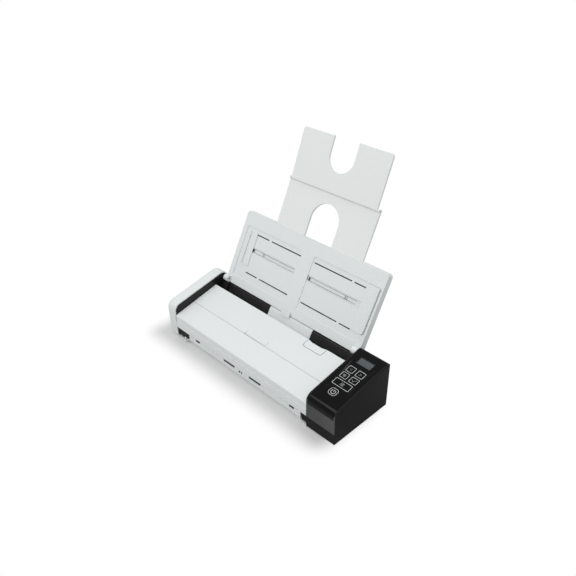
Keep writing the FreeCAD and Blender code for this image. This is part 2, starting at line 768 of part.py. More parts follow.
def right_end_cap():
    """Black end cap, hollow and open towards the cover, with the seat of the control panel on top."""
    cap = cap_block(RIGHT, BAY_RIGHT, 0.0, RIGHT_CAP_EDGE_RADIUS)
    inside = cap_block(RIGHT, BAY_RIGHT, CAP_WALL, RIGHT_CAP_EDGE_RADIUS)
    cap = cap.cut(inside)
    opening = box(BAY_RIGHT + CAP_WALL, RIGHT - RIGHT_CAP_EDGE_RADIUS, FRONT - 1, REAR - CAP_WALL * 2,
                  PANEL_LIP_Z, BODY_DEPTH)
    cap = cap.cut(opening.common(panel_region(CAP_WALL * 2)))
    cap = joined([cap] + panel_ledges())
    rear_wall = REAR - CAP_WALL
    data = box(DATA_SOCKET_X - SOCKET_WIDTH / 2, DATA_SOCKET_X + SOCKET_WIDTH / 2, rear_wall - 1, REAR + 1,
               SOCKET_Z, SOCKET_Z + SOCKET_HEIGHT)
    supply = box(POWER_SOCKET_X - SOCKET_WIDTH / 2, POWER_SOCKET_X + SOCKET_WIDTH / 2, rear_wall - 1, REAR + 1,
                 SOCKET_Z, SOCKET_Z + SOCKET_HEIGHT)
    return cap.cut([data, supply])


def lcd_window():
    return in_panel(lcd_plan(0.0, -PANEL_THICKNESS, 0.0), LCD_FRONT)


def lcd_module():
    """Display glass and its carrier, under the window."""
    return in_panel(lcd_plan(-0.5, -PANEL_THICKNESS - LCD_HEIGHT, -PANEL_THICKNESS), LCD_FRONT)


def panel_board():
    """Circuit board under the keys, with one switch under each stem."""
    top = KEY_THICKNESS * 2 + STEM_LENGTH + KEY_TRAVEL + SWITCH_GAP + SWITCH_HEIGHT
    first = min(key[3] for key in KEYS) - 2.0
    length = (LCD_REAR + 2.0 - first) / cos(radians(TOP_SLOPE))
    board = prism_z(rect(PANEL_BOARD_LEFT, PANEL_BOARD_RIGHT, 0.0, length, 1.0), -top - BOARD_THICKNESS, -top)
    pieces = [board]
    for name, x0, x1, y0, y1, radius in KEYS:
        middle = ((y0 + y1) / 2 - first) / cos(radians(TOP_SLOPE))
        centre = (x0 + x1) / 2
        half = SWITCH_SIZE / 2
        pieces.append(box(centre - half, centre + half, middle - half, middle + half, -top, -top + SWITCH_HEIGHT))
    post_height = top - PANEL_THICKNESS
    for x in (PANEL_BOARD_LEFT + BOARD_POST_RADIUS / 2, PANEL_BOARD_RIGHT - BOARD_POST_RADIUS):
        for run in (BOARD_POST_RADIUS, length - BOARD_POST_RADIUS):
            pieces.append(rod_z(x, run, BOARD_POST_RADIUS / 2, -top, -top + post_height))
    return in_panel(joined(pieces), first)


def paper_bed():
    """Black lower guide with openings for the tyres and for the lower scan unit."""
    bed = skin(BAY_LEFT + FIT_GAP, BAY_RIGHT - FIT_GAP, -HALF_PATH, -HALF_PATH - SKIN,
               FRONT + BASE_WALL, BED_END_Y)
    cutters = []
    for spans, axis, radius in (
        (tyre_spans(), EXIT_AXIS, EXIT_RADIUS),
        (tyre_spans(), DRIVE_AXIS, DRIVE_RADIUS),
        (feed_spans(), FEED_AXIS, FEED_RADIUS),
    ):
        for x0, x1 in spans:
            cutters.append(rod_x(axis[0], axis[1], radius + TYRE_SLOT_GAP, x0 - TYRE_SLOT_GAP, x1 + TYRE_SLOT_GAP))
    for x0, x1 in tyre_spans():
        reach = EXIT_RADIUS + TYRE_SLOT_GAP
        cutters.append(box(x0 - TYRE_SLOT_GAP, x1 + TYRE_SLOT_GAP, FRONT, EXIT_AXIS[0] + reach,
                           EXIT_AXIS[1], EXIT_AXIS[1] + 2 * reach))
    for x in (ARM_LEFT_X, ARM_RIGHT_X):
        cutters.append(box(x - COVER_GAP * 3, x + ARM_WIDTH + COVER_GAP * 3, FRONT,
                           COVER_PIVOT_Y + HINGE_BOSS_RADIUS + COVER_GAP, LOW, BODY_DEPTH))
    half = SCAN_DEPTH / 2 + FIT_GAP
    unit = box(-SCAN_WIDTH / 2 - FIT_GAP, SCAN_WIDTH / 2 + FIT_GAP, -half, half, -SCAN_HEIGHT, HALF_PATH)
    unit.translate(vec(SCAN_MIDDLE_X, 0, 0))
    cutters.append(on_path(unit, run_at(LOWER_SCAN_Y)))
    for axis in (FEED_AXIS, DRIVE_AXIS, EXIT_AXIS):
        cutters.append(rod_x(axis[0], axis[1], BUSH_FLANGE + 0.4, BAY_LEFT - 1, BAY_LEFT + 2.0))
        cutters.append(rod_x(axis[0], axis[1], BUSH_FLANGE + 0.4, BAY_RIGHT - 2.0, BAY_RIGHT + 1))
    bed = bed.cut(cutters)
    ribs = []
    for x in BED_RIBS_X:
        rib = box(x - BED_RIB / 2, x + BED_RIB / 2, RIB_FRONT_Y, RIB_REAR_Y, LOW + BASE_WALL,
                  BODY_DEPTH).cut(skin(x - BED_RIB, x + BED_RIB, BODY_DEPTH, -HALF_PATH - SKIN / 2,
                                       FRONT, REAR))
        ribs.append(rib)
    return joined([bed] + ribs)


def guide_section(depth):
    """Side outline of the rear guide, drawn in by depth from its front and top faces."""
    offset = -HALF_PATH - depth
    top_y, top_z = TRAY_Y, TRAY_Z
    back = radians(TRAY_SLOPE)
    drop = GUIDE_TOP_GAP + depth
    top = (top_y - drop * cos(back), top_z - drop * sin(back))
    nose = meeting(guide_point(0, offset), GUIDE_SLOPE, top, TRAY_SLOPE - 90)
    rear_top = meeting(top, TRAY_SLOPE - 90, (REAR - BASE_WALL - FIT_GAP, 0), 90)
    foot_z = path_point(run_at(BED_END_Y), 0)[1]
    rear_low = (REAR - BASE_WALL - FIT_GAP, foot_z)
    return (offset, nose, rear_top, rear_low)


def guide_block(x0, x1, depth):
    offset, nose, rear_top, rear_low = guide_section(depth)
    radius = max(NOSE_RADIUS - depth, 0.3)
    start = path_corner(offset)
    corners = [
        path_point(run_at(DRIVE_Y), offset),
        start,
        (nose[0], nose[1], radius),
        rear_top,
        rear_low,
        (rear_low[0] - GUIDE_FOOT, rear_low[1] - GUIDE_FOOT),
        (BED_END_Y, rear_low[1] - GUIDE_FOOT),
        (path_point(run_at(DRIVE_Y), offset)[0], path_point(run_at(DRIVE_Y), offset)[1] - 2.0),
    ]
    return prism_x(corners, x0, x1).common(box(x0, x1, BED_END_Y + FIT_GAP, REAR, LOW, BODY_DEPTH))


def pick_cover():
    """White middle piece of the rear guide with a tab that reaches over the foot of the tray."""
    block = guide_block(PICK_LEFT, PICK_RIGHT, 0.0)
    inner = guide_block(PICK_LEFT - 1, PICK_RIGHT + 1, PICK_SKIN)
    tab = box(TAB_LEFT, TAB_RIGHT, -TAB_REACH, TAB_REACH, HALF_PATH, HALF_PATH + TAB_THICKNESS)
    plate = block.cut(inner)
    riser = box(TAB_LEFT, TAB_RIGHT, -GUIDE_TOP_GAP - PICK_SKIN * 0.8, -GUIDE_TOP_GAP,
                -PICK_SKIN / 2, HALF_PATH + TAB_THICKNESS)
    tab = turned(joined([tab, riser]), TRAY_SLOPE, TRAY_Y, TRAY_Z)
    return joined([plate, tab])


def rear_guide():
    """Black guide behind the inlet, with the pocket of its white middle piece."""
    block = guide_block(BAR_LEFT, BAR_RIGHT, 0.0)
    front = guide_block(PICK_LEFT - FIT_GAP, PICK_RIGHT + FIT_GAP, 0.0)
    inner = guide_block(PICK_LEFT - 1, PICK_RIGHT + 1, PICK_SKIN + FIT_GAP)
    feed_well = [
        rod_x(FEED_AXIS[0], FEED_AXIS[1], FEED_RADIUS + TYRE_SLOT_GAP, x0 - TYRE_SLOT_GAP, x1 + TYRE_SLOT_GAP)
        for x0, x1 in feed_spans()
    ]
    return block.cut(front.cut(inner)).cut(feed_well)


def scan_unit(y, side):
    """Long housing of a scanning line, open towards the paper, with its glass seat."""
    half = SCAN_DEPTH / 2
    near = side * HALF_PATH
    far = side * (HALF_PATH + SCAN_HEIGHT)
    body = box(-SCAN_WIDTH / 2, SCAN_WIDTH / 2, -half, half, min(near, far), max(near, far))
    seat_far = side * (HALF_PATH + GLASS_THICKNESS)
    seat = box(-SCAN_WIDTH / 2 + SKIN, SCAN_WIDTH / 2 - SKIN, -GLASS_DEPTH / 2, GLASS_DEPTH / 2,
               min(near, seat_far), max(near, seat_far))
    well_far = side * (HALF_PATH + SCAN_HEIGHT - SKIN)
    well = box(-SCAN_WIDTH / 2 + SKIN * 2, SCAN_WIDTH / 2 - SKIN * 2, -GLASS_DEPTH / 2 + SKIN / 2,
               GLASS_DEPTH / 2 - SKIN / 2, min(near, well_far), max(near, well_far))
    unit = body.cut([seat, well])
    unit.translate(vec(SCAN_MIDDLE_X, 0, 0))
    return on_path(unit, run_at(y))


def scan_glass(y, side):
    near = side * HALF_PATH
    far = side * (HALF_PATH + GLASS_THICKNESS)
    glass = box(-SCAN_WIDTH / 2 + SKIN, SCAN_WIDTH / 2 - SKIN, -GLASS_DEPTH / 2, GLASS_DEPTH / 2,
                min(near, far), max(near, far))
    glass.translate(vec(SCAN_MIDDLE_X, 0, 0))
    return on_path(glass, run_at(y))


def lower_scan_unit():
    return scan_unit(LOWER_SCAN_Y, -1)


def lower_scan_glass():
    return scan_glass(LOWER_SCAN_Y, -1)


def upper_scan_unit():
    return scan_unit(UPPER_SCAN_Y, 1)


def upper_scan_glass():
    return scan_glass(UPPER_SCAN_Y, 1)


def main_board():
    """Main circuit board on four standoffs of the base floor."""
    floor = LOW + BASE_WALL
    low = floor + BOARD_RISE
    board = box(BOARD_LEFT, BOARD_RIGHT, BOARD_FRONT, BOARD_REAR, low, low + BOARD_THICKNESS)
    pieces = [board]
    for x in (BOARD_LEFT + BOARD_INSET, BOARD_RIGHT - BOARD_INSET):
        for y in (BOARD_FRONT + BOARD_INSET, BOARD_REAR - BOARD_INSET):
            pieces.append(rod_z(x, y, BOARD_POST_RADIUS, floor, low))
    top = low + BOARD_THICKNESS
    for x in BOARD_CHIPS_X:
        pieces.append(box(x, x + BOARD_CHIP, BOARD_FRONT + BOARD_INSET, BOARD_FRONT + BOARD_INSET + BOARD_CHIP / 2,
                          top, top + 1.6))
    return joined(pieces)


def socket_body(x):
    """Block of a socket with its open mouth to the back."""
    wall = 1.2
    rear = REAR - CAP_WALL / 2
    front = rear - SOCKET_LENGTH
    return box(x - SOCKET_WIDTH / 2 + FIT_GAP, x + SOCKET_WIDTH / 2 - FIT_GAP, front, rear,
               SOCKET_Z + FIT_GAP, SOCKET_Z + SOCKET_HEIGHT - FIT_GAP), wall, front, rear


def socket_foot(x, front):
    """Bracket that carries a socket on the floor of the cap."""
    return box(x - SOCKET_WIDTH / 4, x + SOCKET_WIDTH / 4, front, front + SOCKET_LENGTH / 2,
               LOW + CAP_WALL, SOCKET_Z + FIT_GAP)


def usb_socket():
    """Square data socket with its tongue."""
    body, wall, front, rear = socket_body(DATA_SOCKET_X)
    mouth = box(DATA_SOCKET_X - SOCKET_WIDTH / 2 + wall, DATA_SOCKET_X + SOCKET_WIDTH / 2 - wall,
                front + wall, rear, SOCKET_Z + wall, SOCKET_Z + SOCKET_HEIGHT - wall)
    tongue = box(DATA_SOCKET_X - SOCKET_WIDTH / 4, DATA_SOCKET_X + SOCKET_WIDTH / 4, front + wall,
                 rear - 1.5, SOCKET_Z + 3.2, SOCKET_Z + 4.8)
    return joined([body.cut(mouth), tongue, socket_foot(DATA_SOCKET_X, front)])


def dc_socket():
    """Round power socket with its centre pin."""
    body, wall, front, rear = socket_body(POWER_SOCKET_X)
    middle = SOCKET_Z + SOCKET_HEIGHT / 2
    length = SOCKET_LENGTH - wall
    mouth = Part.makeCylinder(2.9, length, vec(POWER_SOCKET_X, front + wall, middle), vec(0, 1, 0))
    pin = Part.makeCylinder(0.9, length - 1.0, vec(POWER_SOCKET_X, front + wall, middle), vec(0, 1, 0))
    return joined([body.cut(mouth), pin, socket_foot(POWER_SOCKET_X, front)])


def ring_x(axis, outer, inner, x0, x1):
    return rod_x(axis[0], axis[1], outer, x0, x1).cut(rod_x(axis[0], axis[1], inner, x0, x1))


def roller_bushes():
    """Six flanged bushes that carry the shafts in the two side plates."""
    bushes = []
    bore = SHAFT_RADIUS + SHAFT_GAP
    for axis in (FEED_AXIS, DRIVE_AXIS, EXIT_AXIS):
        left = ring_x(axis, BUSH_RADIUS, bore, BAY_LEFT - SIDE_PLATE, BAY_LEFT)
        left_flange = ring_x(axis, BUSH_FLANGE, bore, BAY_LEFT, BAY_LEFT + BUSH_FLANGE_THICKNESS)
        right = ring_x(axis, BUSH_RADIUS, bore, BAY_RIGHT, BAY_RIGHT + SIDE_PLATE)
        right_flange = ring_x(axis, BUSH_FLANGE, bore, BAY_RIGHT - BUSH_FLANGE_THICKNESS, BAY_RIGHT)
        bushes.append(joined([left, left_flange]))
        bushes.append(joined([right, right_flange]))
    return group(bushes)


def gear_posts():
    """Two steel posts in the right side plate that carry the idler gears."""
    posts = []
    for axis in (LARGE_IDLER_AXIS, SMALL_IDLER_AXIS):
        foot = rod_x(axis[0], axis[1], POST_RADIUS * 2, BAY_RIGHT + SIDE_PLATE, GEAR_X - SHAFT_GAP * 4)
        post = rod_x(axis[0], axis[1], POST_RADIUS, BAY_RIGHT + SIDE_PLATE, GEAR_X + GEAR_WIDTH + 1.0)
        posts.append(joined([foot, post]))
    return group(posts)


def drive_motor():
    """Motor can with its mounting plate, hung on the right side plate by three spacers."""
    front = GEAR_X + GEAR_WIDTH + MOTOR_PLATE_GAP
    y, z = MOTOR_AXIS
    plate = prism_x(rect(y - MOTOR_RADIUS, y + MOTOR_RADIUS, z - MOTOR_RADIUS, z + MOTOR_RADIUS, 3.0),
                    front, front + MOTOR_PLATE)
    bore = rod_x(y, z, POST_RADIUS * 2.4, front, front + MOTOR_PLATE)
    can = rod_x(y, z, MOTOR_RADIUS, front + MOTOR_PLATE, front + MOTOR_PLATE + MOTOR_LENGTH)
    nose = rod_x(y, z, POST_RADIUS * 2, front, front + MOTOR_PLATE)
    pieces = [plate.cut(bore), can, nose]
    for turn in MOTOR_SPACER_TURNS:
        reach = MOTOR_RADIUS + 1.0
        sy, sz = y + reach * cos(radians(turn)), z + reach * sin(radians(turn))
        pieces.append(rod_x(sy, sz, POST_RADIUS, BAY_RIGHT + SIDE_PLATE, front + MOTOR_PLATE))
        pieces.append(rod_x(sy, sz, POST_RADIUS * 1.6, front, front + MOTOR_PLATE))
    return joined(pieces)


def cover_hinge_pins():
    """Two steel pins that the cover swings on, each seated in a side plate and a floor ear."""
    left = rod_x(COVER_PIVOT_Y, COVER_PIVOT_Z, HINGE_PIN_RADIUS, BAY_LEFT - SIDE_PLATE,
                 ARM_LEFT_X + ARM_WIDTH + EAR_GAP + EAR_WIDTH)
    right = rod_x(COVER_PIVOT_Y, COVER_PIVOT_Z, HINGE_PIN_RADIUS, ARM_RIGHT_X - EAR_GAP - EAR_WIDTH,
                  BAY_RIGHT + SIDE_PLATE)
    return group([left, right])


def tray_hinge_pins():
    """Two steel pins that the tray swings on, seated in the side plates."""
    left = rod_x(TRAY_PIVOT_Y, TRAY_PIVOT_Z, TRAY_PIN_RADIUS, BAY_LEFT - SIDE_PLATE,
                 TRAY_LEFT + TRAY_BOSS_WIDTH - 1.0)
    right = rod_x(TRAY_PIVOT_Y, TRAY_PIVOT_Z, TRAY_PIN_RADIUS, TRAY_RIGHT - TRAY_BOSS_WIDTH + 1.0,
                  BAY_RIGHT + SIDE_PLATE)
    return group([left, right])


def foot_places():
    """One foot near each corner, and one in the middle that keeps the long base from bowing."""
    corners = [
        (x, y)
        for x in (LEFT + FOOT_INSET + LEFT_CAP_WIDTH, BAY_RIGHT - FOOT_INSET)
        for y in (FRONT + FOOT_INSET + FOOT_RADIUS, REAR - FOOT_INSET)
    ]
    return corners + [(0.0, 0.0)]


def rubber_feet():
    return group([rod_z(x, y, FOOT_RADIUS, 0.0, LOW) for x, y in foot_places()])


def roller(axis, radius, spans, left_end, right_end):
    """Steel shaft and its rubber tyres, as two shapes."""
    shaft = rod_x(axis[0], axis[1], SHAFT_RADIUS, left_end, right_end)
    tyres = [ring_x(axis, radius, SHAFT_RADIUS, x0, x1) for x0, x1 in spans]
    return shaft, group(tyres)


def rim_points(teeth, phase):
    """Outline points of an external gear with involute flanks, backlash and straight root lands."""
    pitch = pitch_radius(teeth)
    base = pitch * cos(radians(PRESSURE_ANGLE))
    tip = pitch + MODULE * 0.95
    root = pitch - MODULE * 1.25
    involute = tan(radians(PRESSURE_ANGLE)) - radians(PRESSURE_ANGLE)
    half_pitch_tooth = pi / (2 * teeth) - BACKLASH / 2 / pitch

    def half_tooth(radius):
        if radius <= base:
            return half_pitch_tooth + involute
        angle = acos(base / radius)
        return half_pitch_tooth + involute - (tan(angle) - angle)

    low = max(base, root)
    flank = [root, pitch, tip] if low >= pitch - MODULE * 0.2 else [root, low, pitch, tip]
    points = []
    for tooth in range(teeth):
        middle = phase + 2 * pi * tooth / teeth
        for radius in flank:
            points.append((middle - half_tooth(radius), radius))
        for radius in reversed(flank):
            points.append((middle + half_tooth(radius), radius))
    return points


def gear(axis, teeth, phase, bore):
    """Spur gear with its hub, at the gear plane."""
    points = [
        vec(GEAR_X, axis[0] + radius * cos(turn), axis[1] + radius * sin(turn))
        for turn, radius in rim_points(teeth, phase)
    ]
    rim = Part.Face(Part.makePolygon(points + points[:1])).extrude(vec(GEAR_WIDTH, 0, 0))
    return rim.cut(rod_x(axis[0], axis[1], bore, GEAR_X - 1, GEAR_X + GEAR_WIDTH + 1))


def meshed_phase(axis_a, teeth_a, phase_a, axis_b, teeth_b):
    """Phase of gear b with its gap on a tooth of gear a."""
    line = atan2(axis_b[1] - axis_a[1], axis_b[0] - axis_a[0])
    arc = pitch_radius(teeth_a) * (phase_a - line) + pi * MODULE / 2
    return line + pi - arc / pitch_radius(teeth_b)


FEED_PHASE = 0.0
SMALL_IDLER_PHASE = meshed_phase(FEED_AXIS, FEED_TEETH, FEED_PHASE, SMALL_IDLER_AXIS, SMALL_IDLER_TEETH)
DRIVE_PHASE = meshed_phase(SMALL_IDLER_AXIS, SMALL_IDLER_TEETH, SMALL_IDLER_PHASE, DRIVE_AXIS, DRIVE_TEETH)
LARGE_IDLER_PHASE = meshed_phase(DRIVE_AXIS, DRIVE_TEETH, DRIVE_PHASE, LARGE_IDLER_AXIS, LARGE_IDLER_TEETH)
EXIT_PHASE = meshed_phase(LARGE_IDLER_AXIS, LARGE_IDLER_TEETH, LARGE_IDLER_PHASE, EXIT_AXIS, EXIT_TEETH)
PINION_PHASE = meshed_phase(FEED_AXIS, FEED_TEETH, FEED_PHASE, MOTOR_AXIS, PINION_TEETH)


def large_idler():
    """Large idler gear, lightened by six round holes."""
    wheel = gear(LARGE_IDLER_AXIS, LARGE_IDLER_TEETH, LARGE_IDLER_PHASE, POST_RADIUS + SHAFT_GAP)
    reach = pitch_radius(LARGE_IDLER_TEETH) * 0.55
    holes = []
    for index in range(LIGHTENING_HOLES):
        turn = 2 * pi * index / LIGHTENING_HOLES
        holes.append(rod_x(LARGE_IDLER_AXIS[0] + reach * cos(turn), LARGE_IDLER_AXIS[1] + reach * sin(turn),
                           LIGHTENING_RADIUS, GEAR_X - 1, GEAR_X + GEAR_WIDTH + 1))
    return wheel.cut(holes)


def motor_pinion():
    """Pinion on its motor shaft."""
    wheel = gear(MOTOR_AXIS, PINION_TEETH, PINION_PHASE, POST_RADIUS)
    shaft = rod_x(MOTOR_AXIS[0], MOTOR_AXIS[1], POST_RADIUS, GEAR_X - 0.8, GEAR_X + GEAR_WIDTH + MOTOR_PLATE_GAP / 2)
    return joined([wheel, shaft])


def pinch_rollers(axis):
    """Free rollers on one thin axle, pressed on the tyres."""
    spans = tyre_spans()
    axle = rod_x(axis[0], axis[1], PINCH_AXLE_RADIUS, spans[0][0] - 4.0, spans[-1][1] + 4.0)
    return joined([axle] + [rod_x(axis[0], axis[1], PINCH_RADIUS, x0 + 2.0, x1 - 2.0) for x0, x1 in spans])


def below_path(offset):
    """Space under the line that runs at an offset above the paper path."""
    return skin(BAY_LEFT - 1, BAY_RIGHT + 1, offset, -BODY_DEPTH / 2, -BODY_DEPTH, BODY_DEPTH)


def on_cover(shape, y):
    """Shape made flat at the origin, laid on the cover's top plane at y."""
    return turned(shape, COVER_SLOPE, y, cover_z(y))


def latch_bar(x0, x1, gap):
    """Square bar of the cover's latch between two x places, grown by gap."""
    half = LATCH_SIZE / 2 + gap
    bar = box(x0, x1, -half, half, LATCH_DROP - half, LATCH_DROP + half)
    return on_cover(bar, LATCH_Y)


def front_shell():
    """White front half of the cover: front face with its step, top and end walls, open below."""
    top_front = cover_z(FRONT + COVER_STEP)
    seam = COVER_SEAM_Y - COVER_SEAM / 2
    side = [
        (FRONT, COVER_LOW_Z),
        (FRONT, COVER_STEP_Z),
        (FRONT + COVER_STEP, COVER_STEP_Z),
        (FRONT + COVER_STEP, top_front, COVER_FRONT_RADIUS),
        (seam, cover_z(seam)),
        (seam, COVER_LOW_Z),
    ]
    drop = COVER_WALL / cos(radians(COVER_SLOPE))
    wall = FRONT + COVER_STEP + COVER_WALL
    inside = [
        (wall, 0.0),
        (wall, cover_z(wall) - drop, COVER_FRONT_RADIUS / 2),
        (REAR, cover_z(REAR) - drop),
        (REAR, 0.0),
    ]
    bevel = [
        (FRONT - 1, COVER_LOW_Z - 0.25),
        (FRONT + 2 * COVER_WALL, COVER_LOW_Z + 1.0),
        (FRONT + 2 * COVER_WALL, 0.0),
        (FRONT - 1, 0.0),
    ]
    body = prism_x(side, COVER_LEFT, COVER_RIGHT)
    behind_wall = box(BAY_LEFT, BAY_RIGHT, wall, REAR, 0.0, BODY_DEPTH)
    body = body.cut(below_path(HALF_PATH + SKIN).common(behind_wall))
    body = body.cut(prism_x(bevel, BAY_LEFT, BAY_RIGHT))
    return body.cut(prism_x(inside, COVER_LEFT + COVER_WALL, COVER_RIGHT - COVER_WALL))


def button_plan(gap):
    """Outline of the release button: rounded front corners and a hollowed rear edge."""
    length = (COVER_REAR_Y - BUTTON_Y) / cos(radians(COVER_SLOPE))
    x0, x1 = BUTTON_X - gap, BUTTON_X + BUTTON_WIDTH + gap
    return [
        (x0, -gap, BUTTON_CORNER + gap),
        (x1, -gap, BUTTON_CORNER + gap),
        (x1, length - BUTTON_REAR_INSET),
        (x1 - BUTTON_WIDTH / 4, length - BUTTON_REAR_INSET - BUTTON_HOLLOW, BUTTON_WIDTH / 3),
        (x0 + BUTTON_WIDTH / 4, length - BUTTON_REAR_INSET - BUTTON_HOLLOW, BUTTON_WIDTH / 3),
        (x0, length - BUTTON_REAR_INSET),
    ]


def release_button():
    """White press button at the rear of the cover: plate, hollow skirt and wedge leg."""
    plate = prism_z(button_plan(0.0), -COVER_WALL, 0.0)
    x0, x1 = BUTTON_X + BUTTON_WALL, BUTTON_X + BUTTON_WIDTH - BUTTON_WALL
    run = (COVER_REAR_Y - BUTTON_Y) / cos(radians(COVER_SLOPE)) - COVER_WALL - BUTTON_SKIRT_GAP
    skirt = box(x0, x1, BUTTON_CORNER, run, -BUTTON_SKIRT, -COVER_WALL)
    hollow = box(x0 + BUTTON_WALL, x1 - BUTTON_WALL, BUTTON_CORNER + BUTTON_WALL, run - BUTTON_WALL,
                 -BUTTON_SKIRT, -COVER_WALL)
    return on_cover(joined([plate, skirt.cut(hollow)]), BUTTON_Y)


def rear_panel():
    """White rear half of the cover, with the finger scoop at the seam and the button's opening."""
    seam = COVER_SEAM_Y + COVER_SEAM / 2
    side = [
        (seam, COVER_LOW_Z),
        (seam, cover_z(seam)),
        (COVER_REAR_Y, cover_z(COVER_REAR_Y), 1.0),
        (COVER_REAR_Y, COVER_LOW_Z),
    ]
    drop = COVER_WALL / cos(radians(COVER_SLOPE))
    wall = COVER_REAR_Y - COVER_WALL
    inside = [
        (FRONT, 0.0),
        (FRONT, cover_z(FRONT) - drop),
        (wall, cover_z(wall) - drop),
        (wall, 0.0),
    ]
    body = prism_x(side, COVER_LEFT, COVER_RIGHT).cut(below_path(HALF_PATH + SKIN))
    body = body.cut(prism_x(inside, COVER_LEFT + COVER_WALL, COVER_RIGHT - COVER_WALL))
    scoop_run = SCOOP_LENGTH / cos(radians(COVER_SLOPE))
    under = prism_x([(-2.0, -COVER_WALL), (scoop_run + 2.0, -COVER_WALL), (scoop_run + 2.0, -COVER_WALL * 2),
                     (-2.0, -COVER_WALL * 2)], SCOOP_X - COVER_WALL, SCOOP_X + SCOOP_WIDTH + COVER_WALL)
    under = on_cover(under, seam).common(box(BAY_LEFT, BAY_RIGHT, seam, REAR, 0.0, BODY_DEPTH))
    body = joined([body, under])
    scoop = prism_x([(-1.0, -SCOOP_DEPTH), (scoop_run / 3, -SCOOP_DEPTH, scoop_run / 2),
                     (scoop_run, 0.0), (scoop_run, 1.0), (-1.0, 1.0)], SCOOP_X, SCOOP_X + SCOOP_WIDTH)
    corners = prism_z([(SCOOP_X, -1.0), (SCOOP_X, scoop_run, SCOOP_CORNER),
                       (SCOOP_X + SCOOP_WIDTH, scoop_run, SCOOP_CORNER), (SCOOP_X + SCOOP_WIDTH, -1.0)],
                      -COVER_WALL, 2.0)
    body = body.cut(on_cover(scoop.common(corners), seam))
    depth = COVER_WALL + BUTTON_TRAVEL + BUTTON_GAP
    length = (COVER_REAR_Y - BUTTON_Y) / cos(radians(COVER_SLOPE)) + 2.0
    x0, x1 = BUTTON_X - BUTTON_GAP, BUTTON_X + BUTTON_WIDTH + BUTTON_GAP
    opening = prism_z([(x0, -BUTTON_GAP, BUTTON_CORNER + BUTTON_GAP), (x1, -BUTTON_GAP, BUTTON_CORNER + BUTTON_GAP),
                       (x1, length), (x0, length)], -depth, 1.0)
    return body.cut([on_cover(opening, BUTTON_Y), latch_bar(BUTTON_X, BAY_RIGHT, BUTTON_GAP)])


def cover_latch():
    """Square sliding bar that ends at the cover's right side, with a wedge foot under the button."""
    left = BUTTON_X + BUTTON_WIDTH - BUTTON_WALL + BUTTON_TRAVEL + BUTTON_GAP
    bar = latch_bar(left, COVER_RIGHT, 0.0)
    return bar


def inner_guide():
    """Black guide under the cover: carries the scan unit, the free rollers, the pad and the latch."""
    sheet = skin(COVER_LEFT, COVER_RIGHT, HALF_PATH + SKIN, HALF_PATH,
                 FRONT + COVER_STEP + COVER_WALL + FIT_GAP, COVER_REAR_Y - FIT_GAP)
    ears = []
    cutters = []
    for axis in (EXIT_PINCH_AXIS, DRIVE_PINCH_AXIS):
        for x in PINCH_EARS_X:
            ear = box(x - EAR_WIDTH / 2, x + EAR_WIDTH / 2, axis[0] - PINCH_RADIUS, axis[0] + PINCH_RADIUS,
                      axis[1] - PINCH_RADIUS, axis[1] + PINCH_AXLE_RADIUS * 2)
            ears.append(ear.cut(below_path(HALF_PATH + SKIN / 2)))
            cutters.append(rod_x(axis[0], axis[1], PINCH_AXLE_RADIUS + SHAFT_GAP, x - EAR_WIDTH, x + EAR_WIDTH))
        spans = tyre_spans()
        for x0, x1 in spans:
            cutters.append(rod_x(axis[0], axis[1], PINCH_RADIUS + ROLLER_GAP, x0 - ROLLER_GAP, x1 + ROLLER_GAP))
    channels = []
    for axis in (EXIT_PINCH_AXIS, DRIVE_PINCH_AXIS):
        first, last = tyre_spans()[0][0] - 5.0, tyre_spans()[-1][1] + 5.0
        channels.append(rod_x(axis[0], axis[1], PINCH_AXLE_RADIUS + ROLLER_GAP, first, last))
    sheet = sheet.cut(channels)
    half = SCAN_DEPTH / 2 + FIT_GAP
    unit = box(-SCAN_WIDTH / 2 - FIT_GAP, SCAN_WIDTH / 2 + FIT_GAP, -half, half, 0.0, SCAN_HEIGHT)
    unit.translate(vec(SCAN_MIDDLE_X, 0, 0))
    cutters.append(on_path(unit, run_at(UPPER_SCAN_Y)))
    cutters.append(pad_form(FIT_GAP))
    latch_ears = []
    for x in LATCH_EARS_X:
        ear = latch_bar(x, x + EAR_WIDTH, BUTTON_GAP * 3)
        stand = box(x, x + EAR_WIDTH, LATCH_Y - LATCH_SIZE / 2, LATCH_Y + LATCH_SIZE / 2, COVER_LOW_Z,
                    cover_z(LATCH_Y) + LATCH_DROP)
        latch_ears.append(joined([ear, stand.cut(below_path(HALF_PATH + SKIN / 2))]))
        cutters.append(latch_bar(x - EAR_WIDTH, x + EAR_WIDTH * 2, BUTTON_GAP / 2))
    body = joined([sheet] + ears + latch_ears)
    return body.cut(cutters)


def pad_form(gap):
    """Curved separation pad over the feed roller, grown by gap."""
    centre = arc_point(0.0, 0.0)
    outer = PATH_RADIUS - PAD_GAP
    ring = rod_x(centre[0], centre[1], outer + gap, ROLLER_CENTRE_X - PAD_WIDTH / 2 - gap,
                 ROLLER_CENTRE_X + PAD_WIDTH / 2 + gap)
    ring = ring.cut(rod_x(centre[0], centre[1], outer - PAD_THICKNESS - gap, -BODY_WIDTH, BODY_WIDTH))
    y0 = arc_point(FEED_TURN - PAD_TURN, PATH_RADIUS)[0] - gap
    y1 = arc_point(FEED_TURN + PAD_TURN, PATH_RADIUS)[0] + gap
    return ring.common(box(-BODY_WIDTH, BODY_WIDTH, y0, y1, LOW, centre[1]))


def separation_pad():
    return pad_form(0.0)


